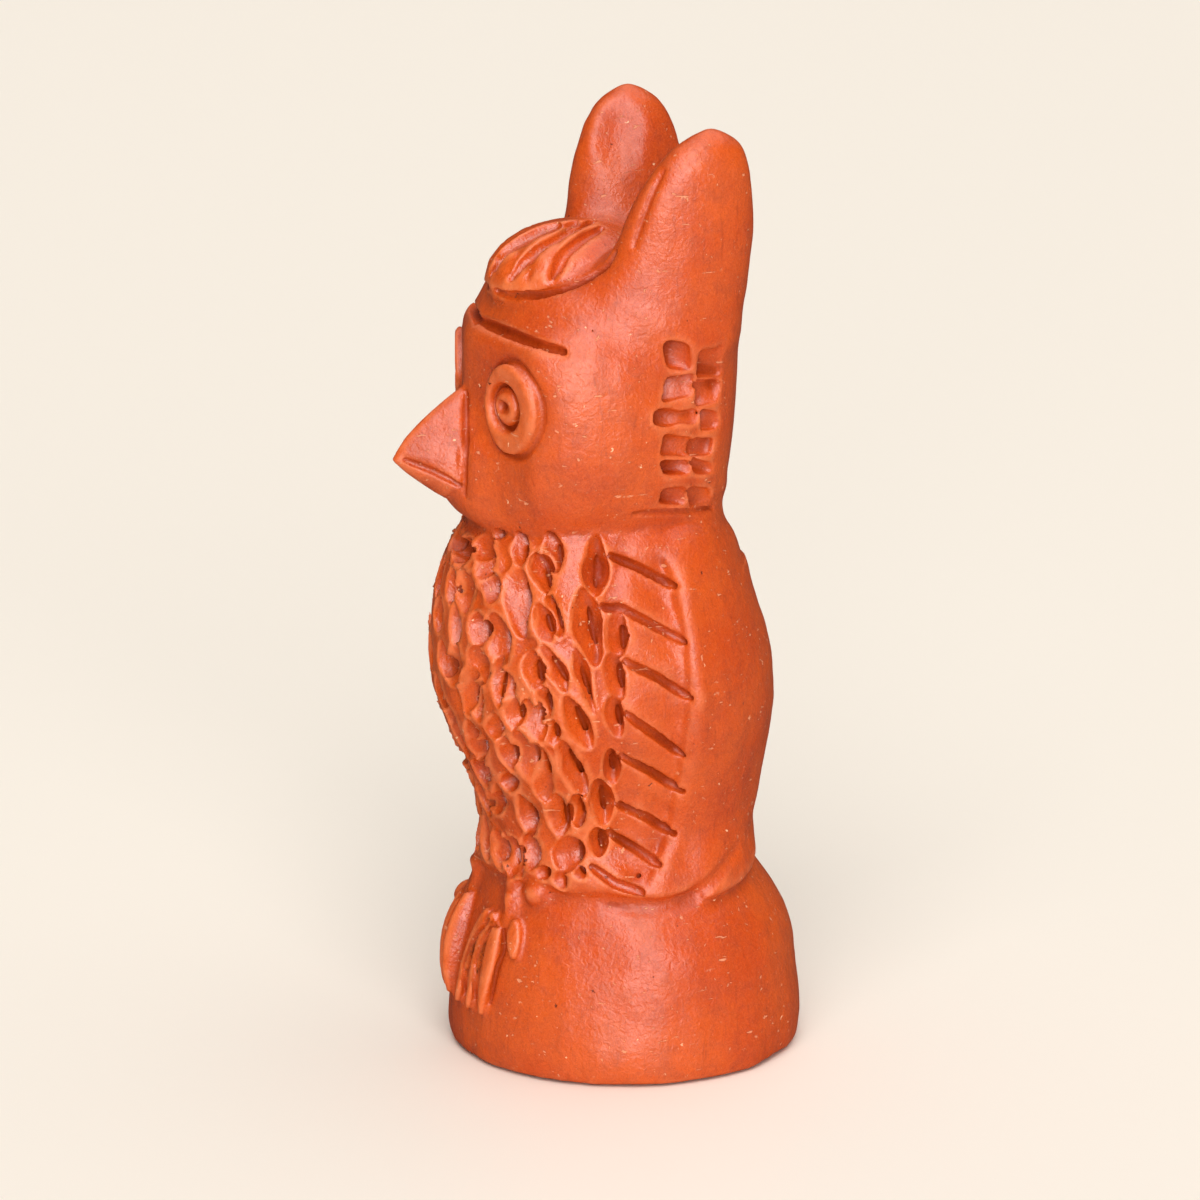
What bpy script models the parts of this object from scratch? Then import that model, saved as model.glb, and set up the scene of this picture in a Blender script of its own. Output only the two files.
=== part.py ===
"""Terracotta owl figurine, hand-built from separate pieces of clay that are luted together and fired.

Metres, +Z up. The owl looks along -Y and its own left is +X. Angles round the owl run from the
breast, 0, through its left side, 90, to its back, 180.
"""

import math

import bmesh
import bpy
from mathutils import Matrix, Vector

# Joints between the pieces of clay
JOINT_GAP = 0.0003
SLAB_GAP = 0.0005
SEAT_DEPTH = 0.003

# Base, a mound with an open, hollowed underside
BASE_HEIGHT = 0.045
BASE_RADIUS = 0.0376
BASE_FOOT_RADIUS = 0.0370
BASE_FOOT_HEIGHT = 0.005
BASE_TOP_RADIUS = 0.0252
BASE_CURVE = 1.8
BASE_CENTRE_Y = -0.0014

# Body, a hollow vase that carries the breast, the wings and the head
BODY_HEIGHT = 0.076
BELLY_RADIUS = 0.0300
WAIST_RADIUS = 0.0232
NECK_RADIUS = 0.0200
BODY_LEAN = 0.0074
WALL = 0.008

# Breast and wings, slabs pressed onto the body
BREAST_THICKNESS = 0.0050
BREAST_OVERLAP = 0.0055
WING_THICKNESS = 0.0056
WING_PANEL_THICKNESS = 0.0036
WING_OVERLAP = 0.0085
WING_BACK_RISE = 0.014
WING_FRONT_ANGLE = math.radians(66)
WING_FRONT_BOW = math.radians(9)
WING_PANEL_ANGLE = math.radians(30)
SLAB_EDGE = 0.38
SLAB_INSET = 0.001
SLAB_BACK_DROP = 0.005
SLAB_DROP_START = math.radians(110)
SLAB_DROP_SPAN = math.radians(60)
WING_GROOVES = 8
WING_GROOVE_RADIUS = 0.0009
WING_GROOVE_MARGIN = 0.010
WING_GROOVE_LIFT = 0.0045
WING_GROOVE_FALL = 0.0095
WING_GROOVE_START = math.radians(3)

# Plumage, oval gouges in staggered rows over the breast
GOUGE_ROWS = 9
GOUGE_COLUMNS = 8
GOUGE_LENGTH = 0.0072
GOUGE_WIDTH = 0.0042
GOUGE_DEPTH = 0.0019
GOUGE_LEAN = math.radians(18)
GOUGE_MARGIN = 0.0055

# Head, a pinched ball pressed flat into two eye fields
HEAD_WIDTH = 0.057
HEAD_FRONT = 0.033
HEAD_BACK = 0.030
HEAD_CROWN = 0.031
HEAD_CHIN = 0.034
HEAD_CENTRE_Y = -0.008
HEAD_ABOVE_BODY = 0.021
HEAD_DOME = 2.8
HEAD_PLAN = 2.25
FACE_ANGLE = math.radians(18.6)
FACE_TURN = math.radians(-5.6)
FACE_BRIDGE = 0.029
FOREHEAD_FRONT = 0.0255
MUZZLE = 0.0050
MUZZLE_WIDTH = 0.015
MUZZLE_HEIGHT = 0.0125
MUZZLE_LIFT = -0.016
BROW_HEIGHT = 0.0152
BROW_REACH = math.radians(46)
BROW_RADIUS = 0.0010
NAPE_ROWS = 6
NAPE_ANGLE = math.radians(99)
NAPE_PITCH = 0.0062
NAPE_SIZE = 0.0044
NAPE_DEPTH = 0.0011
NAPE_LIFT = -0.0175
NAPE_COLUMN_STEP = math.radians(11.5)
NAPE_COLUMN_SHARES = (1.0, 0.78)

# Ears, tall rounded paddles on the corners of the head
EAR_HEIGHT = 0.044
EAR_DEPTH = 0.031
EAR_THICKNESS = 0.018
EAR_SPREAD = 0.0235
EAR_ROOT = 0.014
EAR_BACK = 0.0072
EAR_RAKE = 0.0060
RIGHT_EAR_SLIMMING = 0.92
RIGHT_EAR_RAKE = 0.0010
RIGHT_EAR_BACK = 0.0100

# Crest, a fluted pad on the forehead
CREST_WIDTH = 0.033
CREST_LENGTH = 0.037
CREST_RISE = 0.0120
CREST_BACKSET = 0.0054
CREST_SINK = 0.0072
CREST_FLUTES = 7
CREST_FLUTE_RADIUS = 0.0011

# Beak, two jaws parted by the line of the mouth
BEAK_LENGTH = 0.0155
BEAK_WIDTH = 0.0145
BEAK_RISE = 0.0195
BEAK_JAW = 0.0070
BEAK_TIP_DROP = 0.0117
MOUTH_DROP = 0.005

# Eyes, a flat ring with a poked button in it
EYE_REACH = 0.0158
EYE_LIFT = 0.0012
EYE_RADIUS = 0.0100
EYE_HOLE_RADIUS = 0.0052
EYE_PROUD = 0.0014
BUTTON_RADIUS = 0.0034
BUTTON_PROUD = 0.0010
PUPIL_RADIUS = 0.0013
PUPIL_DEPTH = 0.0011

# Feet, a short leg and four leaf-shaped toes each
LEG_RADIUS = 0.0032
LEG_LENGTH = 0.0085
LEG_PROUD = 0.0008
LEG_GAP = 0.0007
TOE_WIDTH = 0.0033
TOE_THICKNESS = 0.0036
TOE_LAP = 0.0015
TOE_END = 0.0117
SIDE_TOE_END = 0.0250
FOOT_ANGLES = {
    "left": (16.0, (-3.4, 4.4, 12.4, 24.0)),
    "right": (-24.0, (-12.6, -20.4, -28.4, -38.0)),
}

CLAY = (0.62, 0.16, 0.055)
SEGMENTS = 32
WELD = 1e-6


def mix(a, b, t):
    return a + (b - a) * t


def ease(t):
    """Smooth step from 0 to 1 as t goes from 0 to 1."""
    t = min(max(t, 0.0), 1.0)
    return t * t * (3 - 2 * t)


def through(stations, t):
    """Values at t on a smooth curve through stations, each of them (position, value, ...)."""
    last = len(stations) - 1
    i = max(k for k in range(last) if k == 0 or stations[k][0] <= t)
    before, start = stations[max(i - 1, 0)], stations[i]
    end, after = stations[i + 1], stations[min(i + 2, last)]
    span = end[0] - start[0]
    s = min(max((t - start[0]) / span, 0.0), 1.0)
    values = []
    for k in range(1, len(start)):
        slope_in = (end[k] - before[k]) / (end[0] - before[0]) * span
        slope_out = (after[k] - start[k]) / (after[0] - start[0]) * span
        rise = (s**3 - 2 * s**2 + s) * slope_in + (s**3 - s**2) * slope_out
        values.append(mix(start[k], end[k], ease(s)) + rise)
    return values


BODY_STATIONS = (
    (0.00, BASE_TOP_RADIUS, 0.16),
    (0.07, WAIST_RADIUS, 0.24),
    (0.22, mix(WAIST_RADIUS, BELLY_RADIUS, 0.34), 0.38),
    (0.46, BELLY_RADIUS, 0.70),
    (0.72, mix(NECK_RADIUS, BELLY_RADIUS, 0.71), 1.00),
    (1.00, NECK_RADIUS, 0.76),
)
BODY_TOP = BASE_HEIGHT + BODY_HEIGHT
BREAST_BOTTOM = BASE_HEIGHT - BREAST_OVERLAP
WING_BOTTOM = BASE_HEIGHT - WING_OVERLAP
SLAB_TOP = BODY_TOP - SLAB_INSET
HEAD_CENTRE = Vector((0, HEAD_CENTRE_Y, BODY_TOP + HEAD_ABOVE_BODY))


def core_section(z):
    """Radius and middle, along Y, of the base and the body at height z."""
    if z < BASE_HEIGHT:
        foot = max(1 - z / BASE_FOOT_HEIGHT, 0.0)
        climb = max(z - BASE_FOOT_HEIGHT, 0.0) / (BASE_HEIGHT - BASE_FOOT_HEIGHT)
        radius = BASE_RADIUS - (BASE_RADIUS - BASE_FOOT_RADIUS) * foot**2
        radius -= (BASE_RADIUS - BASE_TOP_RADIUS) * climb**BASE_CURVE
        lean = BODY_STATIONS[0][2] * max(z / BASE_HEIGHT, 0.0) ** 2
    else:
        radius, lean = through(BODY_STATIONS, (z - BASE_HEIGHT) / BODY_HEIGHT)
    return radius, BASE_CENTRE_Y - BODY_LEAN * lean


def core_point(angle, z, out=0.0):
    """Point at this angle and height on the base or the body, moved out by out."""
    radius, middle = core_section(z)
    reach = radius + out
    return Vector((reach * math.sin(angle), middle - reach * math.cos(angle), z))


def core_normal(angle):
    return Vector((math.sin(angle), -math.cos(angle), 0))


def head_skin(direction, grow=0.0):
    """Point of the head's skin in this direction from its middle, moved out by grow."""
    height = HEAD_CROWN if direction.z > 0 else HEAD_CHIN
    flat = max(math.hypot(direction.x, direction.y), 1e-9)
    x, y = direction.x / flat, direction.y / flat
    round_off = max(abs(x) ** HEAD_PLAN + abs(y) ** HEAD_PLAN, 1e-9) ** (1 / HEAD_PLAN)
    dome = (flat**HEAD_DOME + abs(direction.z) ** HEAD_DOME) ** (1 / HEAD_DOME)
    wide = flat / dome / round_off
    z = direction.z / dome * (height + grow)
    front = HEAD_FRONT if z < BROW_HEIGHT else FOREHEAD_FRONT
    deep = front if y < 0 else HEAD_BACK
    point = Vector((x * wide * (HEAD_WIDTH / 2 + grow), y * wide * (deep + grow), z))
    point.rotate(Matrix.Rotation(-FACE_TURN, 3, "Z"))
    if z < BROW_HEIGHT:
        normal = face_normal(math.copysign(1, point.x))
        point -= normal * max(point.dot(normal) - face_depth() - grow, 0.0)
    if point.y < 0:
        point.y -= MUZZLE * muzzle_share(point.x, z)
    return on_face(point)


def on_face(point):
    """Place in the owl's frame of a point of the face, which is turned a little to the owl's right."""
    return HEAD_CENTRE + Matrix.Rotation(FACE_TURN, 3, "Z") @ point


def muzzle_share(x, lift):
    """Share of the muzzle's full swell at this distance from the middle and this lift."""
    across = ease(1.5 * (1 - abs(x) / MUZZLE_WIDTH))
    return across * ease(1.5 * (1 - abs(lift - MUZZLE_LIFT) / MUZZLE_HEIGHT))


def face_normal(side):
    return Vector((side * math.sin(FACE_ANGLE), -math.cos(FACE_ANGLE), 0))


def face_depth():
    return FACE_BRIDGE * math.cos(FACE_ANGLE)


def head_at(angle, lift, grow=0.0):
    """Point of the head's skin at this angle, lift above its middle."""
    height = (HEAD_CROWN if lift > 0 else HEAD_CHIN) + grow
    level = lift / height
    flat = (1 - abs(level) ** HEAD_DOME) ** (1 / HEAD_DOME)
    return head_skin(Vector((flat * math.sin(angle), -flat * math.cos(angle), level)), grow)


def add_object(name, mesh, group):
    obj = bpy.data.objects.new(name, mesh)
    group.objects.link(obj)
    obj.parent = frame
    return obj


def add_mesh(name, bm, group):
    """Object from a bmesh, with its faces turned outwards."""
    bmesh.ops.recalc_face_normals(bm, faces=bm.faces)
    mesh = bpy.data.meshes.new(name)
    bm.to_mesh(mesh)
    bm.free()
    return add_object(name, mesh, group)


def sheet(place, columns, rows):
    """Grid of clay whose corners, u and v from 0 to 1, lie where place(u, v) puts them."""
    bm = bmesh.new()
    bmesh.ops.create_grid(bm, x_segments=columns, y_segments=rows, size=0.5)
    for vert in bm.verts:
        vert.co = place(vert.co.x + 0.5, vert.co.y + 0.5)
    return bm


def rolled(place, columns, rows):
    """Sheet rolled into a tube along v, with its ends filled."""
    bm = sheet(place, columns, rows)
    bmesh.ops.remove_doubles(bm, verts=bm.verts, dist=WELD)
    bmesh.ops.holes_fill(bm, edges=bm.edges)
    return bm


def tubes(name, paths):
    """Cutter made of round bars, each of them a list of (point, radius)."""
    curve = bpy.data.curves.new(name, "CURVE")
    curve.dimensions = "3D"
    curve.bevel_depth = 1.0
    curve.bevel_resolution = 1
    curve.use_fill_caps = True
    for path in paths:
        spline = curve.splines.new("POLY")
        spline.points.add(len(path) - 1)
        for spot, (point, radius) in zip(spline.points, path):
            spot.co = (*point, 1)
            spot.radius = radius
    bar = bpy.data.objects.new(name, curve)
    bm = bmesh.new()
    bm.from_mesh(bar.to_mesh())
    bar.to_mesh_clear()
    bpy.data.objects.remove(bar)
    bpy.data.curves.remove(curve)
    bmesh.ops.remove_doubles(bm, verts=bm.verts, dist=WELD)
    return add_mesh(name, bm, cutters)


def turned(name, profile, matrix):
    """Solid turned about the local Z axis from a profile of (radius, height) points."""
    mesh = bpy.data.meshes.new(name)
    edges = [(i, i + 1) for i in range(len(profile) - 1)]
    if profile[0][0] > 0:
        edges.append((len(profile) - 1, 0))
    mesh.from_pydata([(radius, 0, height) for radius, height in profile], edges, [])
    obj = add_object(name, mesh, parts)
    obj.matrix_local = matrix
    screw = obj.modifiers.new("turn", "SCREW")
    screw.steps = screw.render_steps = 20
    screw.use_merge_vertices = True
    screw.merge_threshold = WELD
    screw.use_normal_calculate = True
    return obj


def cut(obj, *tools, solver="EXACT"):
    for tool in tools:
        trim = obj.modifiers.new("cut by " + tool.name, "BOOLEAN")
        trim.operation = "DIFFERENCE"
        trim.solver = solver
        trim.object = tool


def clay(obj, shade=1.0, roughness=0.45):
    """Fired clay of the piece's own shade."""
    material = bpy.data.materials.new(obj.name + "_clay")
    material.use_nodes = True
    shader = material.node_tree.nodes["Principled BSDF"]
    shader.inputs["Base Color"].default_value = (*[part * shade for part in CLAY], 1)
    shader.inputs["Roughness"].default_value = roughness
    shader.inputs["Metallic"].default_value = 0.0
    obj.data.materials.append(material)
    return obj


def base_form():
    rows = 10

    def place(u, v):
        row = round(v * rows)
        step = (BASE_HEIGHT - BASE_FOOT_HEIGHT) / (rows - 1)
        z = BASE_FOOT_HEIGHT + step * (row - 1) if row else 0.0
        return core_point(math.tau * u, z)

    return rolled(place, SEGMENTS, rows)


def body_form():
    def place(u, v):
        z = mix(BASE_HEIGHT + JOINT_GAP, BODY_TOP, v)
        return core_point(math.tau * u, z)

    return rolled(place, SEGMENTS, 13)


def core_hollow():
    """The hollow that is scooped up through the base and the body into the head."""

    def place(u, v):
        z = mix(-SEAT_DEPTH, HEAD_CENTRE.z, v)
        radius, middle = core_section(min(max(z, 0.0), BODY_TOP))
        reach = radius - WALL
        angle = math.tau * u
        return Vector((reach * math.sin(angle), middle - reach * math.cos(angle), z))

    return rolled(place, 24, 14)


def head_form(grow=0.0, segments=SEGMENTS, rings=22):
    bm = bmesh.new()
    bmesh.ops.create_uvsphere(bm, u_segments=segments, v_segments=rings, radius=1.0)
    for vert in bm.verts:
        vert.co = head_skin(vert.co.normalized(), grow)
    bmesh.ops.triangulate(bm, faces=bm.faces, quad_method="FIXED")
    return bm


def wing_front(z):
    """Angle of the wing's front edge at height z."""
    level = (z - WING_BOTTOM) / (SLAB_TOP - WING_BOTTOM)
    return WING_FRONT_ANGLE + WING_FRONT_BOW * abs(2 * level - 0.85) ** 3


def slab_top(angle):
    return SLAB_TOP - SLAB_BACK_DROP * ease((abs(angle) - SLAB_DROP_START) / SLAB_DROP_SPAN)


def press_on(name, place, columns, rows, weight, thickness):
    """Slab of clay that follows the body, pillowed by weight(u, v)."""
    bm = sheet(place, columns, rows)
    layer = bm.verts.layers.deform.verify()
    bm.verts.ensure_lookup_table()
    bm.verts.index_update()
    across = columns + 1
    bm.normal_update()
    for vert in bm.verts:
        u = (vert.index % across) / columns
        v = (vert.index // across) / rows
        vert[layer][0] = weight(u, v)
    inward = [face for face in bm.faces if face.normal.xy.dot(face.calc_center_median().xy) < 0]
    bmesh.ops.reverse_faces(bm, faces=inward)
    mesh = bpy.data.meshes.new(name)
    bm.to_mesh(mesh)
    bm.free()
    slab = add_object(name, mesh, parts)
    slab.vertex_groups.new(name="pillow")
    shell = slab.modifiers.new("slab", "SOLIDIFY")
    shell.thickness = thickness
    shell.offset = 1.0
    shell.vertex_group = "pillow"
    return slab


def pillow(u, v, edge_u, edge_v):
    """Share of the full thickness, thinning towards the edges of a slab."""
    inset = ease(min(u, 1 - u) / edge_u) * ease(min(v, 1 - v) / edge_v)
    return mix(SLAB_EDGE, 1.0, inset)


def breast_place(u, v):
    half = 1 - 2 * u
    z = mix(BREAST_BOTTOM, SLAB_TOP, v)
    radius, _ = core_section(z)
    angle = half * (wing_front(z) - JOINT_GAP / radius)
    return core_point(angle, z, SLAB_GAP)


def wing_place(side):
    def place(u, v):
        turn = mix(WING_FRONT_ANGLE, math.pi, u)
        low = WING_BOTTOM + WING_BACK_RISE * ((turn - math.pi / 2) / (math.pi / 2)) ** 2
        z = mix(low, slab_top(turn), v)
        radius, _ = core_section(z)
        back = math.pi - JOINT_GAP / radius
        angle = mix(wing_front(z), back, u)
        return core_point(side * angle, z, SLAB_GAP)

    return place


def wing_weight(u, v):
    border = WING_PANEL_ANGLE / (math.pi - WING_FRONT_ANGLE)
    panel = mix(WING_PANEL_THICKNESS / WING_THICKNESS, 1.0, ease((u - border * 0.8) / (border * 0.5)))
    return panel * pillow(u, v, 0.09, 0.14)


def wing_grooves(side):
    """Bars that press the slanting flight feathers into the wing's panel."""
    paths = []
    for i in range(WING_GROOVES):
        level = (i + 0.55) / WING_GROOVES
        z = mix(WING_BOTTOM + WING_GROOVE_MARGIN, SLAB_TOP - WING_GROOVE_MARGIN, level)
        path = []
        for k in range(5):
            t = k / 4
            here = z + WING_GROOVE_LIFT - WING_GROOVE_FALL * t
            angle = wing_front(here) + WING_GROOVE_START + WING_PANEL_ANGLE * 0.88 * t
            point = core_point(side * angle, here, SLAB_GAP + WING_PANEL_THICKNESS)
            path.append((point, WING_GROOVE_RADIUS * (1 - 0.35 * abs(2 * t - 1))))
        paths.append(path)
    return paths


def gouges():
    """Ovals that the potter's stick leaves in the breast, row by row."""
    bm = bmesh.new()
    for row in range(GOUGE_ROWS):
        z = mix(BREAST_BOTTOM + GOUGE_MARGIN, SLAB_TOP - GOUGE_MARGIN, (row + 0.5) / GOUGE_ROWS)
        radius, _ = core_section(z)
        count = GOUGE_COLUMNS - row % 2
        for column in range(count):
            spread = (column - (count - 1) / 2) / (GOUGE_COLUMNS / 2)
            angle = spread * (wing_front(z) - GOUGE_WIDTH / radius * 0.3)
            spot = core_point(angle, z, SLAB_GAP + BREAST_THICKNESS)
            lean = Matrix.Rotation(GOUGE_LEAN, 4, "X")
            size = Matrix.Diagonal((GOUGE_DEPTH, GOUGE_WIDTH / 2, GOUGE_LENGTH / 2, 1))
            turn = Matrix.Rotation(angle - math.pi / 2, 4, "Z")
            bmesh.ops.create_icosphere(
                bm, subdivisions=1, radius=1.0, matrix=Matrix.Translation(spot) @ turn @ lean @ size
            )
    return bm


def nape_marks():
    """Rectangular and round dents in two columns on each side of the nape."""
    bm = bmesh.new()
    for side in (-1, 1):
        for row in range(NAPE_ROWS):
            lift = NAPE_LIFT + NAPE_PITCH * row
            for column, share in enumerate(NAPE_COLUMN_SHARES):
                angle = side * (NAPE_ANGLE + NAPE_COLUMN_STEP * column)
                spot = head_at(angle, lift)
                shape = Matrix.Diagonal((2 * NAPE_DEPTH, NAPE_SIZE * share, NAPE_PITCH * 0.72, 1))
                turn = Matrix.Rotation(angle - math.pi / 2, 4, "Z")
                place = Matrix.Translation(spot) @ turn @ shape
                bmesh.ops.create_cube(bm, size=1.0, matrix=place)
    return bm


def brow_line(side):
    path = []
    for k in range(6):
        angle = FACE_TURN + side * mix(math.radians(2), BROW_REACH, k / 5)
        path.append((head_at(angle, BROW_HEIGHT - 0.0004), BROW_RADIUS))
    return path


EAR_STATIONS = (
    (0.00, 0.76, 1.00, 1.00, 1.00),
    (0.30, 0.83, 0.90, 1.00, 0.92),
    (0.50, 0.88, 0.72, 0.95, 0.82),
    (0.70, 0.93, 0.50, 0.81, 0.68),
    (0.88, 0.98, 0.24, 0.56, 0.52),
    (0.965, 1.00, 0.07, 0.31, 0.31),
    (1.00, 1.00, 0.00, 0.07, 0.07),
)


def ear_form(side, slim, rake, back):
    def place(u, v):
        level = v ** 0.8
        out, forward, deep, thick = through(EAR_STATIONS, level)
        angle = math.tau * u
        x = EAR_SPREAD * out + EAR_THICKNESS / 2 * thick * math.sin(angle)
        y = back - rake * forward - EAR_DEPTH / 2 * slim * deep * math.cos(angle)
        z = HEAD_CENTRE.z + EAR_ROOT + EAR_HEIGHT * level
        return Vector((side * x, y, z))

    return rolled(place, 18, 10)


def crest_form():
    bm = bmesh.new()
    bmesh.ops.create_uvsphere(bm, u_segments=22, v_segments=10, radius=1.0)
    size = Matrix.Diagonal((CREST_WIDTH / 2, CREST_LENGTH / 2, CREST_RISE, 1))
    bmesh.ops.transform(bm, matrix=crest_frame() @ size, verts=bm.verts)
    return bm


def crest_frame():
    lift = HEAD_CROWN - CREST_SINK
    return Matrix.Translation(HEAD_CENTRE + Vector((0, -CREST_BACKSET, lift)))


def crest_flutes():
    """Bars fanning forward over the crest from its crown."""
    paths = []
    for i in range(CREST_FLUTES):
        fan = (i - (CREST_FLUTES - 1) / 2) / (CREST_FLUTES / 2) * math.radians(62)
        path = []
        for k in range(5):
            climb = mix(math.radians(78), math.radians(14), k / 4)
            out = math.cos(climb)
            point = Vector((
                CREST_WIDTH / 2 * out * math.sin(fan),
                -CREST_LENGTH / 2 * out * math.cos(fan),
                CREST_RISE * math.sin(climb),
            ))
            path.append((crest_frame() @ point, CREST_FLUTE_RADIUS * mix(0.45, 1.0, k / 4)))
        paths.append(path)
    return paths


def jaw(rise, width, arch):
    """Half of the beak, running from inside the head to the tip. A negative rise hangs down."""
    root = 1.5

    def place(u, v):
        s = mix(root, 0.015, v)
        wide = (width / 2) * s ** 0.85
        high = rise * s ** 0.78
        turn = math.tau * u
        x = wide * math.copysign(abs(math.cos(turn)) ** arch, math.cos(turn))
        lift = high * max(math.sin(turn), 0.0) ** arch
        y = -FACE_BRIDGE - BEAK_LENGTH * (1 - s)
        z = lift - BEAK_TIP_DROP - MOUTH_DROP * s
        return on_face(Vector((x, y, z)))

    return rolled(place, 16, 8)


def eye_frame(side):
    """Place of an eye on its flat field, with the eye's axis along local Z."""
    along = Vector((side * math.cos(FACE_ANGLE), math.sin(FACE_ANGLE), 0))
    spot = Vector((0, -FACE_BRIDGE, EYE_LIFT)) + along * EYE_REACH
    up = Vector((0, 0, 1))
    normal = face_normal(side)
    axes = Matrix((up.cross(normal), up, normal)).transposed()
    turn = Matrix.Rotation(FACE_TURN, 3, "Z")
    return Matrix.Translation(on_face(spot)) @ (turn @ axes).to_4x4()


def eye_ring_profile():
    top = JOINT_GAP + EYE_PROUD
    return (
        (EYE_HOLE_RADIUS, -SEAT_DEPTH),
        (EYE_RADIUS, -SEAT_DEPTH),
        (EYE_RADIUS, top - EYE_PROUD * 0.6),
        (EYE_RADIUS - EYE_PROUD * 0.7, top),
        (EYE_HOLE_RADIUS + EYE_PROUD * 0.5, top),
        (EYE_HOLE_RADIUS, top - EYE_PROUD * 0.4),
    )


def button_profile():
    top = JOINT_GAP + BUTTON_PROUD
    return (
        (0, -SEAT_DEPTH),
        (BUTTON_RADIUS, -SEAT_DEPTH),
        (BUTTON_RADIUS, top - BUTTON_PROUD * 0.5),
        (BUTTON_RADIUS - BUTTON_PROUD * 0.6, top),
        (PUPIL_RADIUS * 1.15, top),
        (PUPIL_RADIUS, top - PUPIL_DEPTH * 0.3),
        (PUPIL_RADIUS * 0.6, top - PUPIL_DEPTH),
        (0, top - PUPIL_DEPTH),
    )


def leg_form(angle):
    top = BREAST_BOTTOM - LEG_GAP
    along = Vector((math.cos(angle), math.sin(angle), 0))
    out = core_normal(angle)

    def place(u, v):
        z = mix(top, top - LEG_LENGTH, v)
        size = LEG_RADIUS * mix(1.0, 0.62, v)
        turn = math.tau * u
        middle = core_point(angle, z, LEG_PROUD)
        return middle + size * (along * math.cos(turn) + out * math.sin(turn))

    return rolled(place, 12, 5)


def toe_form(leg_angle, end_angle, end):
    """Leaf of clay laid down the slope of the base, from beside the leg to its end."""
    root_angle = mix(leg_angle, end_angle, 0.6)
    root = BREAST_BOTTOM - LEG_LENGTH + TOE_LAP

    def place(u, v):
        angle = mix(root_angle, end_angle, v ** 0.8)
        leaf = max(math.sin(math.pi * mix(0.10, 0.97, v) ** 0.9), 0.12)
        wide = TOE_WIDTH / 2 * leaf ** 0.7
        high = TOE_THICKNESS * leaf ** 0.6
        turn = math.tau * u
        along = Vector((math.cos(angle), math.sin(angle), 0)) * wide * math.cos(turn)
        return core_point(angle, mix(root, end, v)) + along + core_normal(angle) * high * math.sin(turn)

    return rolled(place, 10, 8)


def new_group(name):
    group = bpy.data.collections.new(name)
    bpy.context.scene.collection.children.link(group)
    return group


def helper(name, bm):
    """Cutter that trims or hollows the pieces and is not one itself."""
    return add_mesh(name, bm, cutters)


def seat(name, bm):
    """Cutter a joint's gap larger than a piece, which beds another piece against it."""
    bmesh.ops.recalc_face_normals(bm, faces=bm.faces)
    bm.normal_update()
    moves = [(vert, vert.normal * vert.calc_shell_factor() * JOINT_GAP) for vert in bm.verts]
    for vert, move in moves:
        vert.co += move
    return helper(name, bm)


for old in list(bpy.data.objects):
    bpy.data.objects.remove(old)
parts = new_group("terracotta_owl")
cutters = new_group("cutters")
frame = bpy.data.objects.new("owl_frame", None)
parts.objects.link(frame)

hollow = helper("hollow", core_hollow())
head_hollow = helper("head_hollow", head_form(-WALL, 20, 12))
base_seat = seat("base_seat", base_form())
head_seat = seat("head_seat", head_form())

base = clay(add_mesh("base", base_form(), parts), 0.97)
cut(base, hollow)
body = clay(add_mesh("body", body_form(), parts), 0.92)
cut(body, hollow, head_seat)

breast = press_on("breast", breast_place, 16, 14, lambda u, v: pillow(u, v, 0.10, 0.12), BREAST_THICKNESS)
cut(clay(breast, 0.95, 0.5), head_seat, helper("gouges", gouges()))

for side, hand in ((1, "left"), (-1, "right")):
    wing = press_on(hand + "_wing", wing_place(side), 13, 11, wing_weight, WING_THICKNESS)
    cut(clay(wing), head_seat, tubes(hand + "_wing_grooves", wing_grooves(side)))

head = clay(add_mesh("head", head_form(), parts), 1.03, 0.40)
brows = tubes("brows", [brow_line(1), brow_line(-1)])
cut(head, hollow, head_hollow, brows, helper("nape_marks", nape_marks()))

ear_seats = []
for hand, shape in (
    ("left", (1, 1.0, EAR_RAKE, EAR_BACK)),
    ("right", (-1, RIGHT_EAR_SLIMMING, RIGHT_EAR_RAKE, RIGHT_EAR_BACK)),
):
    ear = clay(add_mesh(hand + "_ear", ear_form(*shape), parts), 1.0, 0.42)
    cut(ear, head_seat)
    ear_seats.append(seat(hand + "_ear_seat", ear_form(*shape)))

crest = clay(add_mesh("crest", crest_form(), parts), 0.96)
cut(crest, head_seat, *ear_seats, tubes("crest_flutes", crest_flutes()), solver="MANIFOLD")

upper_beak = clay(add_mesh("upper_beak", jaw(BEAK_RISE, BEAK_WIDTH, 1.35), parts), 0.95)
cut(upper_beak, head_seat)
lower_beak = clay(add_mesh("lower_beak", jaw(-BEAK_JAW, BEAK_WIDTH * 0.94, 0.9), parts), 0.93)
upper_seat = seat("upper_beak_seat", jaw(BEAK_RISE, BEAK_WIDTH, 1.35))
cut(lower_beak, head_seat, upper_seat)

for side, hand in ((1, "left"), (-1, "right")):
    ring = clay(turned(hand + "_eye_ring", eye_ring_profile(), eye_frame(side)), 0.98)
    cut(ring, head_seat, upper_seat)
    button = clay(turned(hand + "_eye_button", button_profile(), eye_frame(side)), 0.9)
    cut(button, head_seat)

for hand, (leg_degrees, toe_degrees) in FOOT_ANGLES.items():
    leg_angle = math.radians(leg_degrees)
    leg = clay(add_mesh(hand + "_leg", leg_form(leg_angle), parts), 0.93)
    cut(leg, base_seat)
    leg_seat = seat(hand + "_leg_seat", leg_form(leg_angle))
    ends = [TOE_END] * (len(toe_degrees) - 1) + [SIDE_TOE_END]
    for index, (degrees, end) in enumerate(zip(toe_degrees, ends)):
        form = toe_form(leg_angle, math.radians(degrees), end)
        toe = clay(add_mesh(f"{hand}_toe_{index + 1}", form, parts), 0.93)
        cut(toe, base_seat, leg_seat, solver="MANIFOLD")

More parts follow.
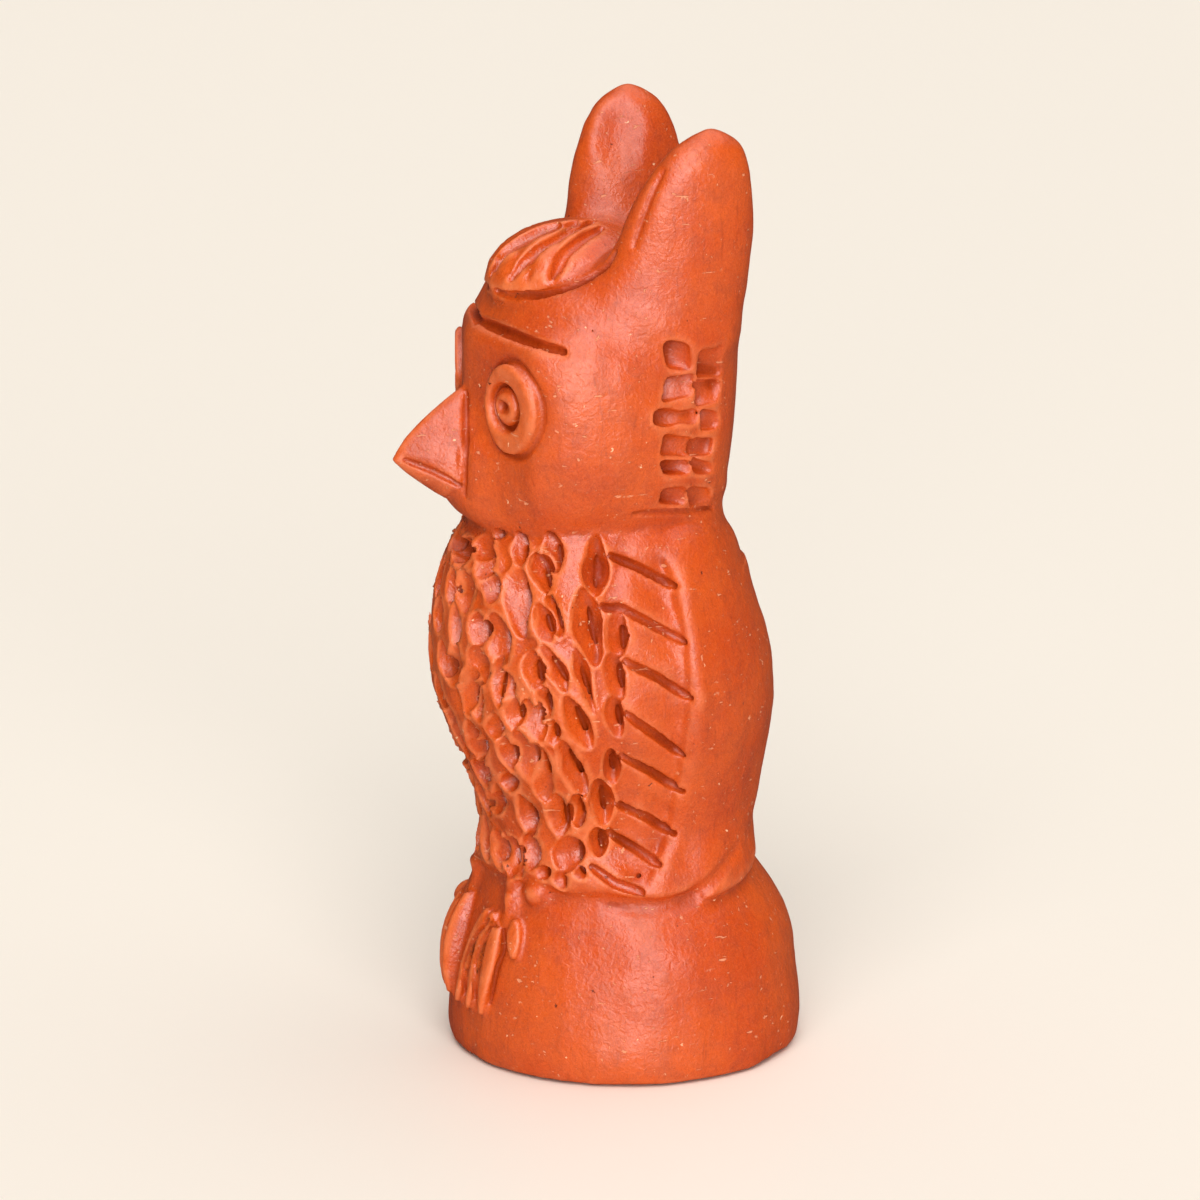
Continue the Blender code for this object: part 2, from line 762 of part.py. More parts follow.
for tool in cutters.objects:
    tool.hide_render = True
    tool.display_type = "WIRE"

# The middle of the owl's footprint stands on the origin
bpy.context.view_layer.update()
graph = bpy.context.evaluated_depsgraph_get()
reach = []
for piece in parts.objects:
    if piece.type == "MESH":
        box = piece.evaluated_get(graph).bound_box
        reach.extend((piece.matrix_world @ Vector(corner)).y for corner in box)
frame.location.y = -(min(reach) + max(reach)) / 2
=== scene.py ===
"""The sculpted, burnished clay of a terracotta owl figurine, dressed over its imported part.

The pieces of the part are read as distance fields, in millimetres, luted together as one body of
clay, and worked with gouges, grooves and dents where the photograph shows them. The worked clay is
then parted again into one closed piece for each piece of the part.
"""

import itertools
import math

import bpy
import numpy as np
import openvdb
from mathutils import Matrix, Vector


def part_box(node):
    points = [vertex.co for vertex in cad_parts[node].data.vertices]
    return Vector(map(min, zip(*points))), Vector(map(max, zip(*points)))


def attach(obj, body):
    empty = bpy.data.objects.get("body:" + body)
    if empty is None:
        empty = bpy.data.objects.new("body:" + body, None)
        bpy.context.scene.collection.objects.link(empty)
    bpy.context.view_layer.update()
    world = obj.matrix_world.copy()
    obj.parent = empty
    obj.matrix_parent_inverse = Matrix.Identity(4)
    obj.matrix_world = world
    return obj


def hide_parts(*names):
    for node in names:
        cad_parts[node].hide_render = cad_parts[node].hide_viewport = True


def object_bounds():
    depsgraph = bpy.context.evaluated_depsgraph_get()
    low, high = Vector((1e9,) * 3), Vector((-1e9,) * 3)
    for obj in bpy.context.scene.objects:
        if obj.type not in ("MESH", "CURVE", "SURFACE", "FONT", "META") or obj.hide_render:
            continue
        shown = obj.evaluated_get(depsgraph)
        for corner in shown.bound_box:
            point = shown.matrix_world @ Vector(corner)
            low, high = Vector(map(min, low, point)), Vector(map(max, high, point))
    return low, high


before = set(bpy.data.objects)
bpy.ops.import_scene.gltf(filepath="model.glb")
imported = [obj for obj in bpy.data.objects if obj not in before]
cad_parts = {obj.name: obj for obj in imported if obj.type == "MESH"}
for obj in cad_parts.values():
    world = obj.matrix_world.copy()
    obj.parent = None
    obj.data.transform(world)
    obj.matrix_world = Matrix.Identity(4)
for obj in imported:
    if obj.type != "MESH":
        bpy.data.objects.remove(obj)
cad_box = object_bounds()

MM = 0.001
MIRROR = np.array([-1, 1, 1])

# Grid that the clay is modelled on, in millimetres
FINE = 0.4
COARSE = 2 * FINE
MARGIN = 4.0
WIDE_BAND = 11.0
NARROW_BAND = 3.0

# Camera, placed from the middle of the base's foot. The focal length is in photograph pixels.
PHOTO_SIZE = 1200
FOCAL = 7995.0
CAMERA_FROM_BASE = (1459.16, -679.02, 548.0)
CAMERA_PITCH = math.radians(-15.7116)
CAMERA_YAW = math.radians(155.2268)
SENSOR = 36.0

# Steps of a look along a line of sight: their number, share of the distance, and least and longest
SIGHT_STEPS = 180
SIGHT_SHARE = 0.7
SIGHT_STEP = (-2.0, 2.5)

# Lip of clay that a tool pushes up: how far from the tool, how wide, and how far the tool is felt
LIP_AT = 0.25
LIP_REACH = 0.45
TOOL_REACH = 1.5

# Pieces luted first, as soft masses: smoothing, smearing of the joint, and growth
MASSES = {
    "body": (1.6, 0.0, 2.2),
    "base": (1.0, 2.0, -0.3),
    "left_wing": (1.2, 1.9, 0.15),
    "right_wing": (1.2, 1.9, 0.15),
    "breast": (1.2, 3.4, 0.2),
    "head": (1.2, 1.6, 0.1),
    "left_ear": (1.3, 9.0, 0.35),
    "right_ear": (1.3, 9.0, 0.45),
}

# Swelling of the base: its height, its level and reach, and where it starts and how it spreads back
BASE_BULGE = 1.8
BASE_BULGE_AT = (27.0, 9.0)
BASE_BULGE_FROM = (-14.0, 16.0)

# The joint of the head is smeared more at the nape
NAPE_SMEAR = 3.5
NAPE_SMEAR_START = 6.0
NAPE_SMEAR_SPAN = 16.0

# Pieces pressed on afterwards, with the same three values
DETAILS = {
    "crest": (0.5, 1.0, 0.1),
    "upper_beak": (0.4, 1.2, 0.1),
    "lower_beak": (0.4, 1.2, 0.2),
    "left_eye_ring": (0.2, 0.7, 0.0),
    "right_eye_ring": (0.2, 0.7, 0.0),
    "left_eye_button": (0.2, 0.65, 0.0),
    "right_eye_button": (0.2, 0.65, 0.0),
    "left_leg": (0.6, 2.6, -1.0),
    "right_leg": (0.6, 3.6, 0.0),
}
for hand in ("left", "right"):
    for toe in range(1, 5):
        DETAILS[f"{hand}_toe_{toe}"] = (0.2, 0.9, 0.15)

# Legs and toes: how far they sink into the clay, how high they stand above it, and their edge
LIMB_SINK = 2.0
LIMB_HEIGHT = {"left_leg": 2.6, "left_toe": 1.9, "right_leg": 1.7, "right_toe": 5.0}
LIMB_SOFT = 0.5

# Turn of the face to the owl's right
FACE_TURN = math.radians(-5.6)

# Cheek, as the photograph pixel of its fullest point, its swelling and radius, and radii worked on
CHEEK = (588, 440)
CHEEK_SWELLING = (1.3, 14.0)
CHEEK_REACH = 2.2

# Gouges of the breast, as photograph pixels: top, bottom, width
GOUGES = (
    (596, 542, 594, 592, 20), (551, 535, 555, 569, 14), (538, 556, 547, 591, 18),
    (515, 566, 521, 630, 24), (582, 594, 595, 657, 25), (550, 592, 559, 634, 12),
    (538, 606, 548, 639, 18), (616, 616, 617, 654, 18), (612, 658, 619, 696, 15),
    (612, 702, 618, 735, 15), (502, 526, 502, 541, 9), (521, 531, 520, 564, 13),
    (488, 572, 489, 600, 18), (474, 616, 478, 645, 16), (493, 619, 502, 661, 17),
    (462, 572, 463, 609, 18), (463, 537, 458, 559, 15), (489, 536, 479, 558, 18),
    (450, 656, 453, 684, 17), (467, 668, 465, 713, 11), (473, 649, 482, 680, 16),
    (500, 660, 498, 707, 11), (507, 674, 510, 701, 14), (530, 656, 535, 689, 17),
    (543, 649, 566, 690, 12), (577, 655, 593, 711, 10), (540, 689, 547, 719, 15),
    (512, 697, 513, 726, 17), (476, 683, 477, 719, 10), (550, 721, 552, 744, 14),
    (527, 699, 540, 741, 17), (493, 716, 495, 738, 13), (567, 702, 588, 748, 19),
    (517, 736, 533, 780, 17), (533, 746, 547, 797, 18), (560, 746, 584, 793, 19),
    (500, 739, 510, 769, 13), (512, 771, 512, 789, 15), (498, 785, 503, 811, 11),
    (522, 796, 533, 831, 16), (557, 797, 561, 834, 24), (575, 796, 580, 824, 13),
    (598, 784, 603, 821, 21), (598, 829, 600, 854, 15), (532, 837, 532, 868, 16),
    (567, 837, 570, 869, 23), (511, 842, 515, 874, 13), (518, 856, 520, 876, 9),
    (542, 866, 542, 879, 12), (560, 874, 562, 888, 10), (610, 752, 613, 779, 14),
    (575, 867, 583, 878, 12), (484, 755, 491, 782, 9), (468, 722, 474, 750, 10),
    (479, 740, 484, 768, 9),
)

# Shape of a gouge: least and greatest depth, depth for its width, spread, longest and widest half
# axis, lean, pointedness, size and height of its wobble, edge and lip. Those further to the left
# than the last value are repeated on the right.
GOUGE_DEPTH = (1.3, 3.0)
GOUGE_ROUND = 0.8
GOUGE_SPREAD = 1.28
GOUGE_REACH = (6.6, 2.5)
GOUGE_LEAN = 0.55
GOUGE_POINT = 1.6
GOUGE_WOBBLE = (3.2, 0.25)
GOUGE_SOFT = 0.15
GOUGE_LIP = 0.22
GOUGE_MIRROR_FROM = 12

# Slit along the deep side of a gouge: width and depth, its ends, and its place across and down
GOUGE_SLIT = (1.0, 1.1)
SLIT_ENDS = (-0.5, 0.75)
SLIT_POINTS = 7
SLIT_ACROSS = 0.55
SLIT_DOWN = 0.8

# Gouges of the strip of breast that faces forward: rows above the lower edge, below the upper edge
# and apart, columns, their spacing, play and start in degrees, play of the height, radius to settle
# from, left end of the strip, and lean, length and width, each with its play
MIDDLE_ROWS = (7, 6, 8.0)
MIDDLE_COLUMNS = range(-3, 3)
MIDDLE_TURN = (11.5, 4, -8)
MIDDLE_RISE = 1.2
MIDDLE_RADIUS = 30
MIDDLE_END = 9
MIDDLE_LEAN = (math.radians(14), 0.15)
MIDDLE_LENGTH = (3.6, 0.8)
MIDDLE_WIDTH = (1.9, 0.3)

# Flight feathers, as photograph pixels along each groove of the left wing
WING_GROOVES = (
    ((609, 555), (640, 568), (674, 586)),
    ((600, 607), (624, 609), (684, 642)),
    ((623, 661), (655, 676), (690, 698)),
    ((625, 714), (655, 735), (682, 755)),
    ((619, 756), (652, 772), (682, 792)),
    ((616, 804), (645, 817), (674, 834)),
    ((607, 832), (635, 848), (658, 864)),
    ((592, 867), (615, 884), (642, 892)),
)
WING_GROOVE = (1.8, 1.7)

# Dents of the nape, as photograph pixels: left, top, right, bottom
NAPE_DENTS = (
    (664, 343, 694, 371), (661, 375, 694, 400), (654, 409, 697, 425), (665, 437, 692, 455),
    (661, 461, 690, 475), (659, 488, 688, 506), (700, 348, 721, 378), (697, 381, 719, 405),
    (702, 409, 719, 430), (695, 439, 714, 457), (693, 460, 714, 475), (690, 488, 712, 507),
)

# Shape of a dent: depth, skew, tilt, edge, and how square it is
NAPE_DEPTH = 2.0
NAPE_SKEW = 0.2
NAPE_TILT = 0.9
NAPE_SOFT = 0.1
NAPE_SQUARE = 4.5

# Lines drawn on the head, as photograph pixels, each with its width and depth, and edge on the ears
BROW = ((478, 319), (500, 329), (530, 341), (563, 351))
BROW_GROOVE = (2.2, 1.9)
BEAK_ROOT = ((466, 392), (466, 440), (464, 496))
BEAK_ROOT_GROOVE = (1.3, 1.1)
MOUTH = ((405, 460), (430, 470), (461, 486))
MOUTH_GROOVE = (1.3, 1.1)
CREST_LIP = (
    (495, 291), (503, 295), (512, 296), (538, 295), (560, 290), (586, 280), (607, 266), (615, 252),
)
CREST_LIP_GROOVE = (1.7, 1.5)
CREST_FLUTES = (
    ((602, 227), (584, 236), (563, 253), (554, 276)),
    ((594, 220), (572, 228), (546, 243), (524, 260), (510, 278)),
    ((576, 221), (550, 229), (524, 240), (503, 256), (490, 274)),
    ((558, 223), (534, 231), (511, 245), (497, 258)),
)
CREST_FLUTE = {"width": 2.7, "depth": 2.0, "taper": 0.9, "soft": 0.2}
CREST_MIRROR_FROM = 3.0
EAR_CREASE = ((663, 170), (651, 196), (642, 222), (634, 246))
EAR_CREASE_GROOVE = (1.5, 0.9, 0.3)
EAR_DISH = ((622, 112), (620, 130), (618, 148))
EAR_DISH_GROOVE = (12.5, 1.9, 1.6)
NECK_LEDGE = ((634, 514), (660, 512), (690, 511), (712, 508))
NECK_LEDGE_GROOVE = (1.5, 0.9)

# Line of the owl's back from ear to nape, as photograph pixels, and how the shaving fades out
BACK_LINE = ((751, 225), (742, 340), (735, 420), (724, 510), (722, 525))
BACK_SOFT = 3.0
BACK_FADE = 5.0
BACK_FADE_ROWS = (90, 60)

# Ledge and crease under the left wing, as photograph pixels, each with its width, depth and edge
WING_LEDGE = ((610, 907), (647, 908), (683, 902), (712, 883), (738, 848))
WING_LEDGE_GROOVE = (3.4, 0.9, 0.8)
WING_CREASE = ((609, 904), (628, 908), (650, 905))
WING_CREASE_GROOVE = (1.2, 0.9, 0.2)

# Creases beside the toes of the left foot, as photograph pixels
TOE_CREASES = (
    ((488, 920), (471, 942), (462, 965), (465, 994)),
    ((494, 925), (481, 942), (474, 964), (475, 998)),
    ((504, 930), (504, 950), (497, 968), (490, 1003)),
)
TOE_CREASE = (1.1, 1.1)

# Lumps that hang from the lower edge of the breast: photograph pixel and radius
LUMPS = ((538, 892, 2.9), (514, 883, 1.6))
LUMP_SMEAR = 1.2

# Border of the wing's flat panel, as photograph pixels from top to bottom
PANEL_BORDER = (
    (660, 540), (677, 580), (690, 640), (694, 700), (686, 760), (673, 830), (656, 880), (640, 905),
)

# How the panel is pressed in: depth, height of the rim, pixels over which it starts and fades out
# forwards, rows over which it fades at top and bottom, and how far from the middle line it starts
PANEL_DEPTH = 0.9
PANEL_RIM = 0.5
PANEL_EDGE = 9.0
PANEL_FADE = 95.0
PANEL_FADE_ROWS = (30, 60)
PANEL_SIDE = 8

# Eyes: oval of the disc, groove round it, recess, the button in it, and the poked hole
EYE_OVAL = (8.3, 9.5, 1.8)
EYE_RIM = (0.5, 0.75)
EYE_RECESS = (5.0, 2.6)
EYE_BUTTON = (4.0, 0.6)
EYE_POKE = (1.6, 2.4, 1.4)

# Hand-worked unevenness: (size, height)
WAVES = ((6.0, 0.10), (1.8, 0.03))

# Reach over which the finish tells a ridge from a hollow, wider reach for the painted shade of deep
# places, and deepest place that it tells apart
RELIEF_REACH = 1.1
BED_REACH = 3.2
RELIEF_LIMIT = 5

# Seam between two pieces: how far one reaches under the other, and how fast it dips
SEAM_LAP = 0.8
SEAM_DIP = 0.4

# Triangles kept in each piece, and in any other
FACES = {
    "base": 40000, "body": 26000, "breast": 120000, "head": 76000, "crest": 26000,
    "left_wing": 34000, "right_wing": 34000, "left_ear": 12000, "right_ear": 12000,
}
OTHER_FACES = 6000

# Finish of each piece, left or right, and of any other
FINISH = {
    "base": "burnished_clay", "body": "burnished_clay", "head": "burnished_clay",
    "ear": "burnished_clay", "wing": "burnished_clay",
    "upper_beak": "beak_clay", "lower_beak": "beak_clay",
    "eye_ring": "eye_clay", "eye_button": "eye_clay",
}
OTHER_FINISH = "carved_clay"

# Each finish: colours of the clay, pale clay and deep clay, roughness and wear. The deep clay also
# paints the shade of hollows and deep places.
FINISHES = {
    "burnished_clay": ((198, 68, 9), (212, 84, 18), (112, 26, 3), 0.39, 0.45),
    "carved_clay": ((198, 68, 9), (212, 84, 18), (100, 22, 2), 0.30, 0.65),
    "beak_clay": ((188, 63, 9), (204, 79, 18), (106, 24, 2), 0.36, 0.45),
    "eye_clay": ((200, 72, 11), (214, 88, 22), (106, 24, 2), 0.34, 0.55),
}
FIBRE_TONE = (240, 122, 56)
RUBBED_TONE = (238, 122, 64)
SCRATCH_TONE = (252, 178, 132)
SPECK_TONE = (252, 196, 152)
PIT_TONE = (92, 26, 8)
BUMP_HEIGHT = 0.0009

# Studio: floor, what the clay's sheen sees of it, and lamps by azimuth, height, angle and strength
FLOOR_SIZE = 6.0
FLOOR_TONE = (250, 240, 226)
FLOOR_SHEEN_TONE = (84, 52, 36)
FLOOR_ROUGHNESS = 0.55
WORLD_STRENGTH = 0.05
LAMPS = {"key": (60, 50, 40, 1.7), "front": (73, 9, 40, 2.3), "top": (200, 78, 80, 1.55)}


def ease(share):
    """Smooth step from 0 to 1."""
    share = np.clip(share, 0, 1)
    return share * share * (3 - 2 * share)


def smooth_least(a, b, smear):
    """The lesser of two fields, with the crease between them smeared over."""
    near = np.maximum(smear - np.abs(a - b), 0)
    return np.minimum(a, b) - near * near / np.maximum(4 * smear, 1e-6)


def blurred(values, reach):
    """Gaussian blur whose deviation is reach grid steps."""
    half = max(math.ceil(2.6 * reach), 1)
    taps = np.exp(-0.5 * (np.arange(-half, half + 1) / reach) ** 2).astype(np.float32)
    taps /= taps.sum()
    for axis in range(3):
        pad = [(half, half) if k == axis else (0, 0) for k in range(3)]
        padded = np.moveaxis(np.pad(values, pad, mode="edge"), axis, 0)
        length = values.shape[axis]
        total = taps[0] * padded[:length]
        for k in range(1, len(taps)):
            total += taps[k] * padded[k:k + length]
        values = np.moveaxis(total, 0, axis)
    return np.ascontiguousarray(values)


def refined(values):
    """The same field at half the step, by cubic interpolation."""
    for axis in range(3):
        field = np.moveaxis(values, axis, 0)
        middle = (field[:-1] + field[1:]) / 2
        middle[1:-1] = (9 * (field[1:-2] + field[2:-1]) - field[:-3] - field[3:]) / 16
        wide = np.empty((2 * len(field) - 1, *field.shape[1:]), np.float32)
        wide[::2] = field
        wide[1::2] = middle
        values = np.moveaxis(wide, 0, axis)
    return np.ascontiguousarray(values)


def spots_of(low, step, where):
    """Coordinates of a part of a grid."""
    lines = [low[k] + step * np.arange(span.start, span.stop) for k, span in enumerate(where)]
    return np.stack(np.meshgrid(*lines, indexing="ij"), axis=-1)


class Clay:
    """Distance from the surface of the clay, negative inside, on a grid of points."""

    def __init__(self, low, step, values):
        self.low = np.asarray(low, float)
        self.step = step
        self.values = values

    def at(self, points):
        """Distances at these points, between those of the grid."""
        spot = (np.asarray(points) - self.low) / self.step
        cell = np.clip(np.floor(spot).astype(int), 0, np.array(self.values.shape) - 2)
        part = np.clip(spot - cell, 0, 1)
        total = np.zeros(len(spot))
        for corner in itertools.product((0, 1), repeat=3):
            share = np.prod(np.where(corner, part, 1 - part), axis=1)
            total += share * self.values[tuple((cell + corner).T)]
        return total

    def slope(self, points):
        """Unit normals of the clay at these points."""
        reach = 2 * self.step
        steps = reach * np.eye(3)
        rise = [self.at(points + step) - self.at(points - step) for step in steps]
        rise = np.stack(rise, axis=1)
        return rise / np.maximum(np.linalg.norm(rise, axis=1, keepdims=True), 1e-9)

    def settle(self, points):
        """These points moved onto the surface."""
        for _ in range(6):
            points = points - self.at(points)[:, None] * self.slope(points)
        return points

    def block(self, points, reach):
        """Part of the grid within reach of the points: its slices and its own coordinates."""
        first = np.floor((points.min(0) - reach - self.low) / self.step).astype(int)
        last = np.ceil((points.max(0) + reach - self.low) / self.step).astype(int) + 1
        first = np.clip(first, 0, self.values.shape)
        last = np.clip(last, 0, self.values.shape)
        where = tuple(slice(a, b) for a, b in zip(first, last))
        return where, spots_of(self.low, self.step, where)

    def take(self, where, tool, soft, lip=0.0):
        """Takes away what lies inside the tool, and raises a lip of clay around it."""
        clay = self.values[where]
        if lip:
            clay = clay - lip * np.exp(-((tool - LIP_AT) / LIP_REACH) ** 2)
        near = np.maximum(soft - np.abs(clay + tool), 0)
        self.values[where] = np.maximum(clay, -tool) + near * near / (4 * soft)

    def groove(self, path, width, depth, taper=0.5, soft=0.25, lip=0.06):
        """Draws a round stick along a path on the surface."""
        radius = max((width * width / 4 + depth * depth) / (2 * depth), width / 2)
        line = path + self.slope(path) * (radius - depth)
        share = np.linspace(-1, 1, len(path))
        size = radius * (1 - taper * np.abs(share) ** 4 * 0.5)
        where, spots = self.block(line, radius + TOOL_REACH)
        tool = np.full(spots.shape[:3], 1e3)
        for a, b, size_a, size_b in zip(line[:-1], line[1:], size[:-1], size[1:]):
            way = b - a
            part = np.clip((spots - a) @ way / max(way @ way, 1e-9), 0, 1)
            away = np.linalg.norm(spots - a - part[..., None] * way, axis=-1)
            tool = np.minimum(tool, away - (size_a + (size_b - size_a) * part))
        self.take(where, tool, soft, lip)

    def scoop(self, centre, axes, soft=0.4, lip=0.1, square=2.0, wobble=None):
        """Scoops out an oval, more square or more pointed, whose half axes are the rows of axes."""
        where, spots = self.block(centre + np.concatenate([axes, -axes]), TOOL_REACH)
        back = np.linalg.inv(axes)
        local = (spots - centre) @ back
        length = (np.abs(local) ** square).sum(-1) ** (1 / square)
        least = np.linalg.norm(axes, axis=1).min()
        reach = np.maximum(np.linalg.norm(local @ back.T, axis=-1), 1e-6)
        tool = np.where(length > 0.2, length * (length - 1) / reach, -least)
        if wobble:
            tool += wobble.at(spots.reshape(-1, 3)).reshape(tool.shape)
        self.take(where, tool, soft, lip)


def corners(node):
    """Least and greatest corner of a piece of the part."""
    return [np.array(corner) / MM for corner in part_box(node)]


low_corner = np.array(cad_box[0]) / MM - MARGIN
high_corner = np.array(cad_box[1]) / MM + MARGIN
grid_low = np.floor(low_corner / COARSE) * COARSE
grid_count = np.ceil((high_corner - grid_low) / COARSE).astype(int) + 1


def node_field(node, step, band, count):
    """Distance field of a piece of the part: where on the grid it lies, and its values."""
    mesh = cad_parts[node].data
    mesh.calc_loop_triangles()
    points = np.empty(len(mesh.vertices) * 3, np.float32)
    mesh.vertices.foreach_get("co", points)
    faces = np.empty(len(mesh.loop_triangles) * 3, np.int32)
    mesh.loop_triangles.foreach_get("vertices", faces)
    grid = openvdb.FloatGrid.createLevelSetFromPolygons(
        points.reshape(-1, 3) / MM,
        triangles=faces.reshape(-1, 3).astype(np.uint32),
        transform=openvdb.createLinearTransform(voxelSize=step),
        halfWidth=band / step,
    )
    low, high = corners(node)
    first = np.floor((low - band - grid_low) / step).astype(int)
    last = np.ceil((high + band - grid_low) / step).astype(int) + 1
    first = np.clip(first, 0, count)
    last = np.clip(last, 0, count)
    values = np.empty(tuple(last - first), np.float32)
    start = np.round(grid_low / step).astype(int) + first
    grid.copyToArray(values, ijk=tuple(int(k) for k in start))
    return tuple(slice(a, b) for a, b in zip(first, last)), values


def noise_field(shape, size, height, seed):
    """Smooth random waves of this size and height."""
    dice = np.random.default_rng(seed)
    noise = blurred(dice.standard_normal(shape).astype(np.float32), size / 2 / COARSE)
    return noise * (height / noise.std())


wobble = Clay(grid_low, COARSE, noise_field(tuple(grid_count), *GOUGE_WOBBLE, seed=7))


def luted_masses():
    """The soft masses of the owl as one body of clay, with the low waves of handwork."""
    values = np.full(tuple(grid_count), WIDE_BAND, np.float32)
    for node, (smooth, smear, grow) in MASSES.items():
        where, field = node_field(node, COARSE, WIDE_BAND, grid_count)
        field = blurred(field, smooth / COARSE) - grow
        if node == "head":
            depth = grid_low[1] + COARSE * np.arange(where[1].start, where[1].stop)
            behind = ease((depth - NAPE_SMEAR_START) / NAPE_SMEAR_SPAN)
            smear = smear + NAPE_SMEAR * behind[None, :, None].astype(np.float32)
        if node == "base":
            depth = grid_low[1] + COARSE * np.arange(where[1].start, where[1].stop)
            height = grid_low[2] + COARSE * np.arange(where[2].start, where[2].stop)
            behind = ease((depth - BASE_BULGE_FROM[0]) / BASE_BULGE_FROM[1])
            bulge = np.exp(-((height - BASE_BULGE_AT[0]) / BASE_BULGE_AT[1]) ** 2)
            field = field - (BASE_BULGE * behind[:, None] * bulge).astype(np.float32)
        values[where] = smooth_least(values[where], field, smear)
    for seed, (size, height) in enumerate(WAVES):
        values += noise_field(values.shape, size, height, seed)
    return values


def pressed(node, field, bare, where):
    """A leg or a toe swept into the clay behind it, and flattened at a height above that clay."""
    inward = -bare.slope(np.mean(corners(node), axis=0)[None])[0]
    swept = field
    for reach in np.arange(FINE, LIMB_SINK, FINE):
        shift = np.round(reach * inward / FINE).astype(int)
        swept = np.minimum(swept, np.roll(field, shift, axis=(0, 1, 2)))
    height = LIMB_HEIGHT["_".join(node.split("_")[:2])]
    return -smooth_least(-swept, height - bare.values[where], LIMB_SOFT)


def add_details(clay, bare):
    """Presses the small pieces on."""
    count = np.array(clay.values.shape)
    for node, (smooth, smear, grow) in DETAILS.items():
        where, field = node_field(node, FINE, NARROW_BAND, count)
        field = blurred(field, smooth / FINE) - grow
        if node.endswith("_eye_ring"):
            field = np.maximum(field, beyond_oval(node, spots_of(grid_low, FINE, where)))
        if "_leg" in node or "_toe" in node:
            field = pressed(node, field, bare, where)
        clay.values[where] = smooth_least(clay.values[where], field, smear)


def eye_frame(node):
    """Middle of an eye's disc, its ways back, up and out, and how far out its face is."""
    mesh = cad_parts[node].data
    points = np.array([vert.co for vert in mesh.vertices]) / MM
    middle = (points.min(0) + points.max(0)) / 2
    front = np.linalg.svd(points - points.mean(0), full_matrices=False)[2][2]
    front = front * math.copysign(1, -front[1])
    back = np.cross(front, (0, 0, 1))
    back *= math.copysign(1, back[1]) / np.linalg.norm(back)
    return middle, back, np.cross(front, back), front, ((points - middle) @ front).max()


def beyond_oval(node, spots):
    """How far points lie outside the oval that an eye's disc is trimmed to."""
    middle, back, up, _, _ = eye_frame(node)
    wide, tall, shift = EYE_OVAL
    away = np.hypot(((spots - middle) @ back - shift) / wide, (spots - middle) @ up / tall)
    return ((away - 1) * wide).astype(np.float32)


base_low, base_high = corners("base")
base_middle = (base_low + base_high) / 2
eye = np.array([base_middle[0], base_middle[1], 0]) + np.array(CAMERA_FROM_BASE)
forward = np.array([
    math.cos(CAMERA_PITCH) * math.cos(CAMERA_YAW),
    math.cos(CAMERA_PITCH) * math.sin(CAMERA_YAW),
    math.sin(CAMERA_PITCH),
])
rightward = np.cross(forward, (0, 0, 1))
rightward /= np.linalg.norm(rightward)
upward = np.cross(rightward, forward)


def seen(clay, pixels):
    """Points of the clay that show at these pixels of the photograph."""
    offset = (np.atleast_2d(pixels) - PHOTO_SIZE / 2) / FOCAL
    ways = forward + offset[:, :1] * rightward - offset[:, 1:] * upward
    ways /= np.linalg.norm(ways, axis=1, keepdims=True)
    middle = (low_corner + high_corner) / 2
    start = np.linalg.norm(middle - eye) - np.linalg.norm(high_corner - middle)
    reach = np.full(len(ways), start)
    for _ in range(SIGHT_STEPS):
        reach += np.clip(SIGHT_SHARE * clay.at(eye + ways * reach[:, None]), *SIGHT_STEP)
    return eye + ways * reach[:, None]


def pixels_of(points):
    """Where points show in the photograph."""
    away = points - eye
    depth = away @ forward
    column = PHOTO_SIZE / 2 + FOCAL * (away @ rightward) / depth
    return column, PHOTO_SIZE / 2 - FOCAL * (away @ upward) / depth


def along(pixels, count):
    """Pixels evenly spread along a bent line of pixels."""
    pixels = np.array(pixels, float)
    share = np.linspace(0, len(pixels) - 1, count)
    knots = np.arange(len(pixels))
    return np.stack([np.interp(share, knots, column) for column in pixels.T], 1)


def mirrored(clay, points):
    """The same points on the owl's other side."""
    return clay.settle(points * MIRROR)


def face_mirrored(clay, points):
    """The same points on the other side of the face, which is turned a little."""
    head_low, head_high = corners("head")
    middle = np.array([0, (head_low[1] + head_high[1]) / 2, 0])
    across = np.array([math.cos(FACE_TURN), math.sin(FACE_TURN), 0])
    away = (points - middle) @ across
    return clay.settle(points - 2 * away[:, None] * across)


def gouge_breast(clay, skin):
    """Gouges where the photograph shows them, and again on the owl's other side."""
    tops = np.array([gouge[:2] for gouge in GOUGES], float)
    ends = np.array([gouge[2:4] for gouge in GOUGES], float)
    widths = np.array([gouge[4] for gouge in GOUGES], float)
    ways = ends - tops
    sides = np.stack([-ways[:, 1], ways[:, 0]], 1) / np.linalg.norm(ways, axis=1, keepdims=True)
    half = sides * widths[:, None] / 2
    middles = (tops + ends) / 2
    centre = seen(skin, middles)
    long = (seen(skin, ends) - seen(skin, tops)) / 2
    wide = (seen(skin, middles + half) - seen(skin, middles - half)) / 2
    for spot, length, width in zip(centre, long, wide):
        press_gouge(clay, skin, spot, length, width)
        if spot[0] > GOUGE_MIRROR_FROM:
            other = mirrored(skin, spot[None])[0]
            press_gouge(clay, skin, other, length * MIRROR, width * MIRROR)


